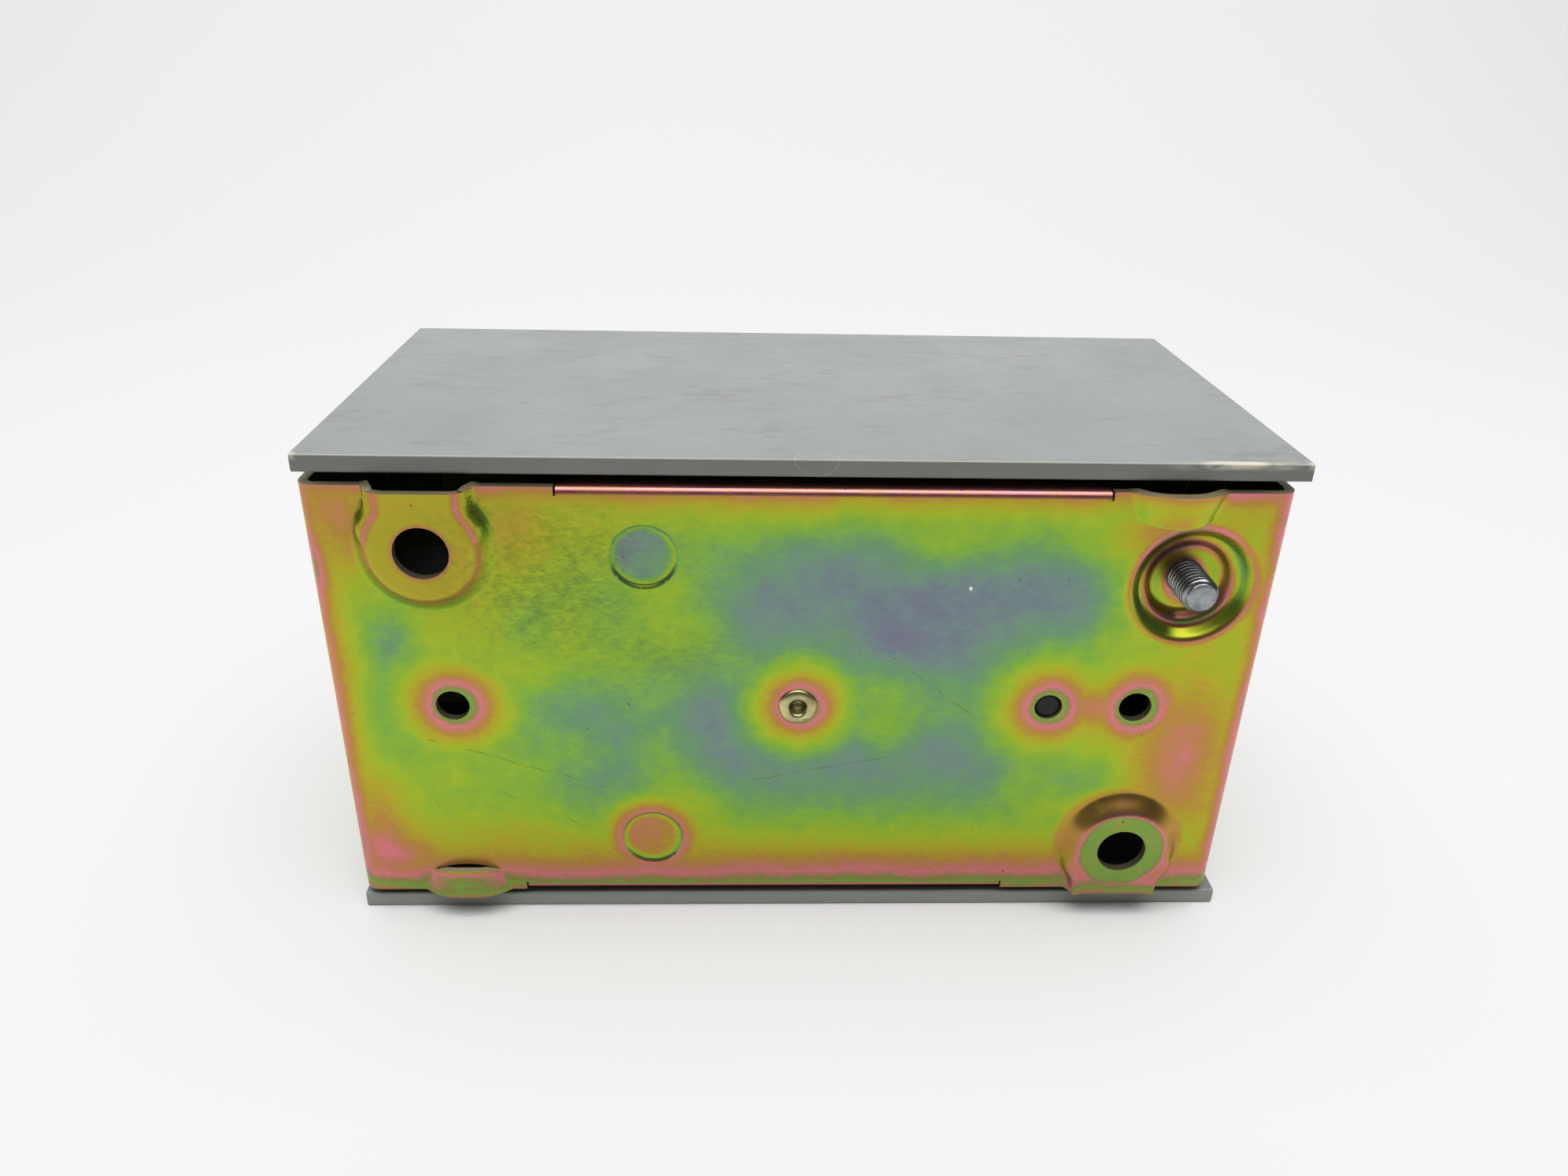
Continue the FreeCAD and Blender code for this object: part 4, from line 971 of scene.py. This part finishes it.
class TurnedPart:
    """Surfaces made by carrying a radius round an axis that points along +Y."""

    def __init__(self, origin: Vector) -> None:
        """Keeps the point on the axis that lengths run from, in metres."""
        self.origin = origin

    def sweep(self, name: str, radius: np.ndarray, along: np.ndarray) -> bpy.types.Object:
        """Makes the surface whose point at row r and turn t is radius[r, t] out and along[r, t] up the axis.

        Args:
            name: The piece's name.
            radius: Distance from the axis for each row and turn, in mm.
            along: Length along the axis for each row and turn, in mm.
        """
        rows, turns = radius.shape
        angle = np.arange(turns) * 2 * math.pi / turns
        points = np.stack([radius * np.cos(angle), along, radius * np.sin(angle)], -1).reshape(-1, 3)
        faces = grid_faces(rows, turns, True)[:, ::-1]
        return make_mesh(name, points * MM + np.array(self.origin), faces)


class GroundScrew(TurnedPart):
    """The slotted screw whose threaded tip stands out of the dish."""

    def __init__(self, size: ScrewSize, origin: Vector) -> None:
        """Keeps the sizes and the tip's place."""
        super().__init__(origin)
        self.size = size

    def shank(self) -> bpy.types.Object:
        """The threaded shank.

        The radius follows a rounded 60-degree thread: the phase of length / pitch minus turn gives the place
        on the flank. A cone at the tip cuts the first threads down, and the end is a flat disc.
        """
        s = self.size
        along = np.concatenate([[0, 0, 0], np.linspace(0, s.length, 210)])[:, None]
        turn = np.arange(96)[None, :] / 96
        phase = (along / s.pitch - turn) % 1.0
        flank = np.clip(1.35 * (1 - np.abs(2 * phase - 1)) - 0.1, 0, 1)
        radius = s.root + (s.radius - s.root) * smooth(flank)
        radius = np.minimum(radius, s.tip_radius + along * (s.radius - s.tip_radius) / s.tip_length)
        radius[:3] = np.array([0.01, s.tip_radius * 0.6, s.tip_radius - 0.12])[:, None]
        along = np.broadcast_to(along, radius.shape).copy()
        along[2] = 0.0
        along[3] = 0.06
        return self.sweep("ground_screw_shank", radius, along)

    def head(self) -> bpy.types.Object:
        """The slotted pan head: rings run under it, round its edge and over its top, where the slot dips."""
        s = self.size
        base, top = s.length, s.length + s.head_height
        turn = np.arange(144) * 2 * math.pi / 144
        edge, rings = np.linspace(0, math.pi / 2, 7), 30
        rounded = s.head_radius - s.head_round + s.head_round * np.cos(edge)
        out = np.concatenate([[s.radius, s.head_radius], rounded, np.linspace(s.head_flat, 0.01, rings)])
        rounded = top - s.head_round + s.head_round * np.sin(edge)
        up = np.concatenate([[base, base], rounded, np.full(rings, top)])
        radius = np.repeat(out[:, None], 144, 1)
        along = np.repeat(up[:, None], 144, 1)
        dip = smooth((s.slot_half + 0.05 - np.abs(radius * np.sin(turn))) / 0.1)
        along[2:] -= np.clip(along[2:] - (top - s.slot_depth), 0, None) * dip[2:]
        return self.sweep("ground_screw_head", radius, along)


class Rivet(TurnedPart):
    """The tubular rivet, whose rolled flare shows on the back."""

    def build(self) -> bpy.types.Object:
        """Turns the outline: flare with its bore, shank through the base, and head in front."""
        outline = [(0.01, 1.9), (0.6, 1.75), (1.0, 1.3), (1.12, 0.6), (1.18, 0.25)]
        outline += [(1.35, 0.06), (1.65, 0.0), (2.0, 0.04), (2.35, 0.14), (2.58, 0.3), (2.66, 0.44)]
        outline += [(2.6, 0.52), (1.58, 0.52), (1.58, 5.35)]
        outline += [(3.4, 5.35), (3.4, 5.5), (3.1, 6.1), (2.4, 6.5), (0.01, 6.55)]
        rows = np.array(outline)
        turn = np.arange(96) * 2 * math.pi / 96
        radius, along = (np.repeat(rows[:, k][:, None], 96, 1) for k in (0, 1))
        nick = np.exp(-(((turn - 5.25) / 0.12) ** 2))
        wobble = 1 + 0.012 * np.sin(3 * turn + 1) + 0.01 * np.sin(5 * turn)
        radius[5:12] *= wobble - 0.16 * nick * np.linspace(0, 1, 7)[:, None]
        return self.sweep("rivet_tubular", radius, along)


# --- Stage ----------------------------------------------------------------------------------------------


@dataclass(frozen=True)
class Lamp:
    """A soft rectangular lamp: where it is and what it faces, in metres, its size and its power."""

    name: str
    place: tuple[float, float, float]
    aim: tuple[float, float, float]
    size: tuple[float, float]
    power: float
    colour: str = "#ffffff"


LAMPS = (Lamp("tent_roof", (0.0, -0.09, 0.82), (0.0, 0.02, 0.0), (1.2, 1.0), 11.4),)


def place_camera() -> None:
    """Puts the camera a hand's length from the box, above and a little to the left, as the box was seen."""
    data = bpy.data.cameras.new("camera")
    data.sensor_width, data.lens = 36.0, 26.29
    data.clip_start, data.clip_end = 0.01, 20.0
    camera = bpy.data.objects.new("camera", data)
    turn = Euler((math.radians(-26.31), math.radians(-1.42), math.radians(-2.39)), "YXZ").to_matrix()
    right, forward, up = (turn.col[k] for k in range(3))
    camera.matrix_world = Matrix((right, up, -forward)).transposed().to_4x4()
    camera.location = (-0.00842, -0.16555, 0.11909)
    bpy.context.scene.collection.objects.link(camera)
    bpy.context.scene.camera = camera


def backdrop() -> None:
    """A pale paper sweep: a profile that runs level, curves up behind the box and rises, drawn along X."""
    bend = np.linspace(0, math.pi / 2, 25)
    y = np.concatenate([[-2.0], 0.3 + 0.35 * np.sin(bend), [0.65]])
    z = np.concatenate([[0], 0.35 - 0.35 * np.cos(bend), [1.6]])
    x = np.array([-4.0, 4.0])
    points = np.stack([np.tile(x, len(y)), np.repeat(y, 2), np.repeat(z, 2)], 1)
    sweep = make_mesh("paper_sweep", points, grid_faces(len(y), 2, False))
    paint = Paint("Matt white background paper")
    tone = paint.mix(paint.ramp(paint.noise(400.0, 2.0), 0.3, 0.7), "#f1f1f2", "#eeeeee")
    normal = paint.bump(paint.noise(0.6, 3.0), 0.004)
    sweep.data.materials.append(paint.surface(Base_Color=tone, Roughness=0.85, Normal=normal))


def light_scene() -> None:
    """Adds the lamps and the room's even light."""
    for lamp in LAMPS:
        data = bpy.data.lights.new(lamp.name, "AREA")
        data.shape, data.size, data.size_y = "RECTANGLE", *lamp.size
        data.energy, data.color = lamp.power, linear(lamp.colour)[:3]
        thing = bpy.data.objects.new(lamp.name, data)
        thing.location = lamp.place
        thing.rotation_euler = (Vector(lamp.aim) - Vector(lamp.place)).to_track_quat("-Z", "Y").to_euler()
        bpy.context.scene.collection.objects.link(thing)
    world = bpy.data.worlds.new("room")
    world.use_nodes = True
    world.node_tree.nodes["Background"].inputs[0].default_value = linear("#f4f6fa")
    world.node_tree.nodes["Background"].inputs[1].default_value = 0.15
    bpy.context.scene.world = world
    develop_picture(bpy.context.scene.view_settings)


# The camera's contrast: picture values and what they become; pure white stays a little below the limit.
TONE_CURVE = ((0.13, 0.08), (0.25, 0.18), (0.5, 0.45), (0.75, 0.76))
WHITE = 0.89


def develop_picture(settings: bpy.types.ColorManagedViewSettings) -> None:
    """Gives the picture a compact camera's contrast: deeper mid-tones and whites that stay off the limit."""
    settings.view_transform = "Standard"
    settings.use_curve_mapping = True
    curve = settings.curve_mapping.curves[3]
    curve.points[0].location, curve.points[1].location = (0.0, 0.0), (1.0, WHITE)
    for point in TONE_CURVE:
        curve.points.new(*point)
    settings.curve_mapping.update()


# --- Assembly -------------------------------------------------------------------------------------------


class BreakerBox:
    """The whole object: CAD pieces with their finishes, and the pieces rebuilt here."""

    def __init__(self) -> None:
        """Builds the materials and reads each CAD node's material slot."""
        self.slots = {part["node"]: part["material_slot"] for part in frame["record"]["subparts"]}
        self.materials = {slot: plain_material(finish) for slot, finish in PLAIN.items()}
        self.materials["chromated_steel"] = chromate_material()
        self.materials["grey_moulding"] = cover_material(*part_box("cover"))

    def adopt(self, piece: bpy.types.Object, node: str, body: str = "box") -> None:
        """Makes a rebuilt piece stand for a CAD node."""
        piece.data.materials.append(self.materials[self.slots[node]])
        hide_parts(node)
        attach(piece, body)

    def build(self) -> None:
        """Dresses the CAD nodes and adds the rebuilt pieces."""
        for node, thing in frame["nodes"].items():
            thing.data.materials.clear()
            thing.data.materials.append(self.materials[self.slots[node]])
        low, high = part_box("base_pan")
        size = PanSize((high.x - low.x) / MM, (high.z - low.z) / MM)
        back = low.y + 2.0 * MM
        pan = Pan(size, Vector(((low.x + high.x) / 2, back, (low.z + high.z) / 2)))
        self.adopt(pan.build(), "base_pan")
        low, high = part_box("ground_screw")
        middle = (low + high) / 2
        screw = GroundScrew(ScrewSize(), Vector((middle.x, low.y, middle.z)))
        self.adopt(screw.shank(), "ground_screw")
        self.adopt(screw.head(), "ground_screw")
        low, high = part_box("centre_rivet")
        middle = (low + high) / 2
        self.adopt(Rivet(Vector((middle.x, low.y, middle.z))).build(), "centre_rivet")


def main() -> None:
    """Builds the object, its stage, light and camera."""
    logging.basicConfig(level=logging.INFO, format="%(name)s: %(message)s")
    box = BreakerBox()
    box.build()
    backdrop()
    light_scene()
    place_camera()


if __name__ == "__main__":
    main()
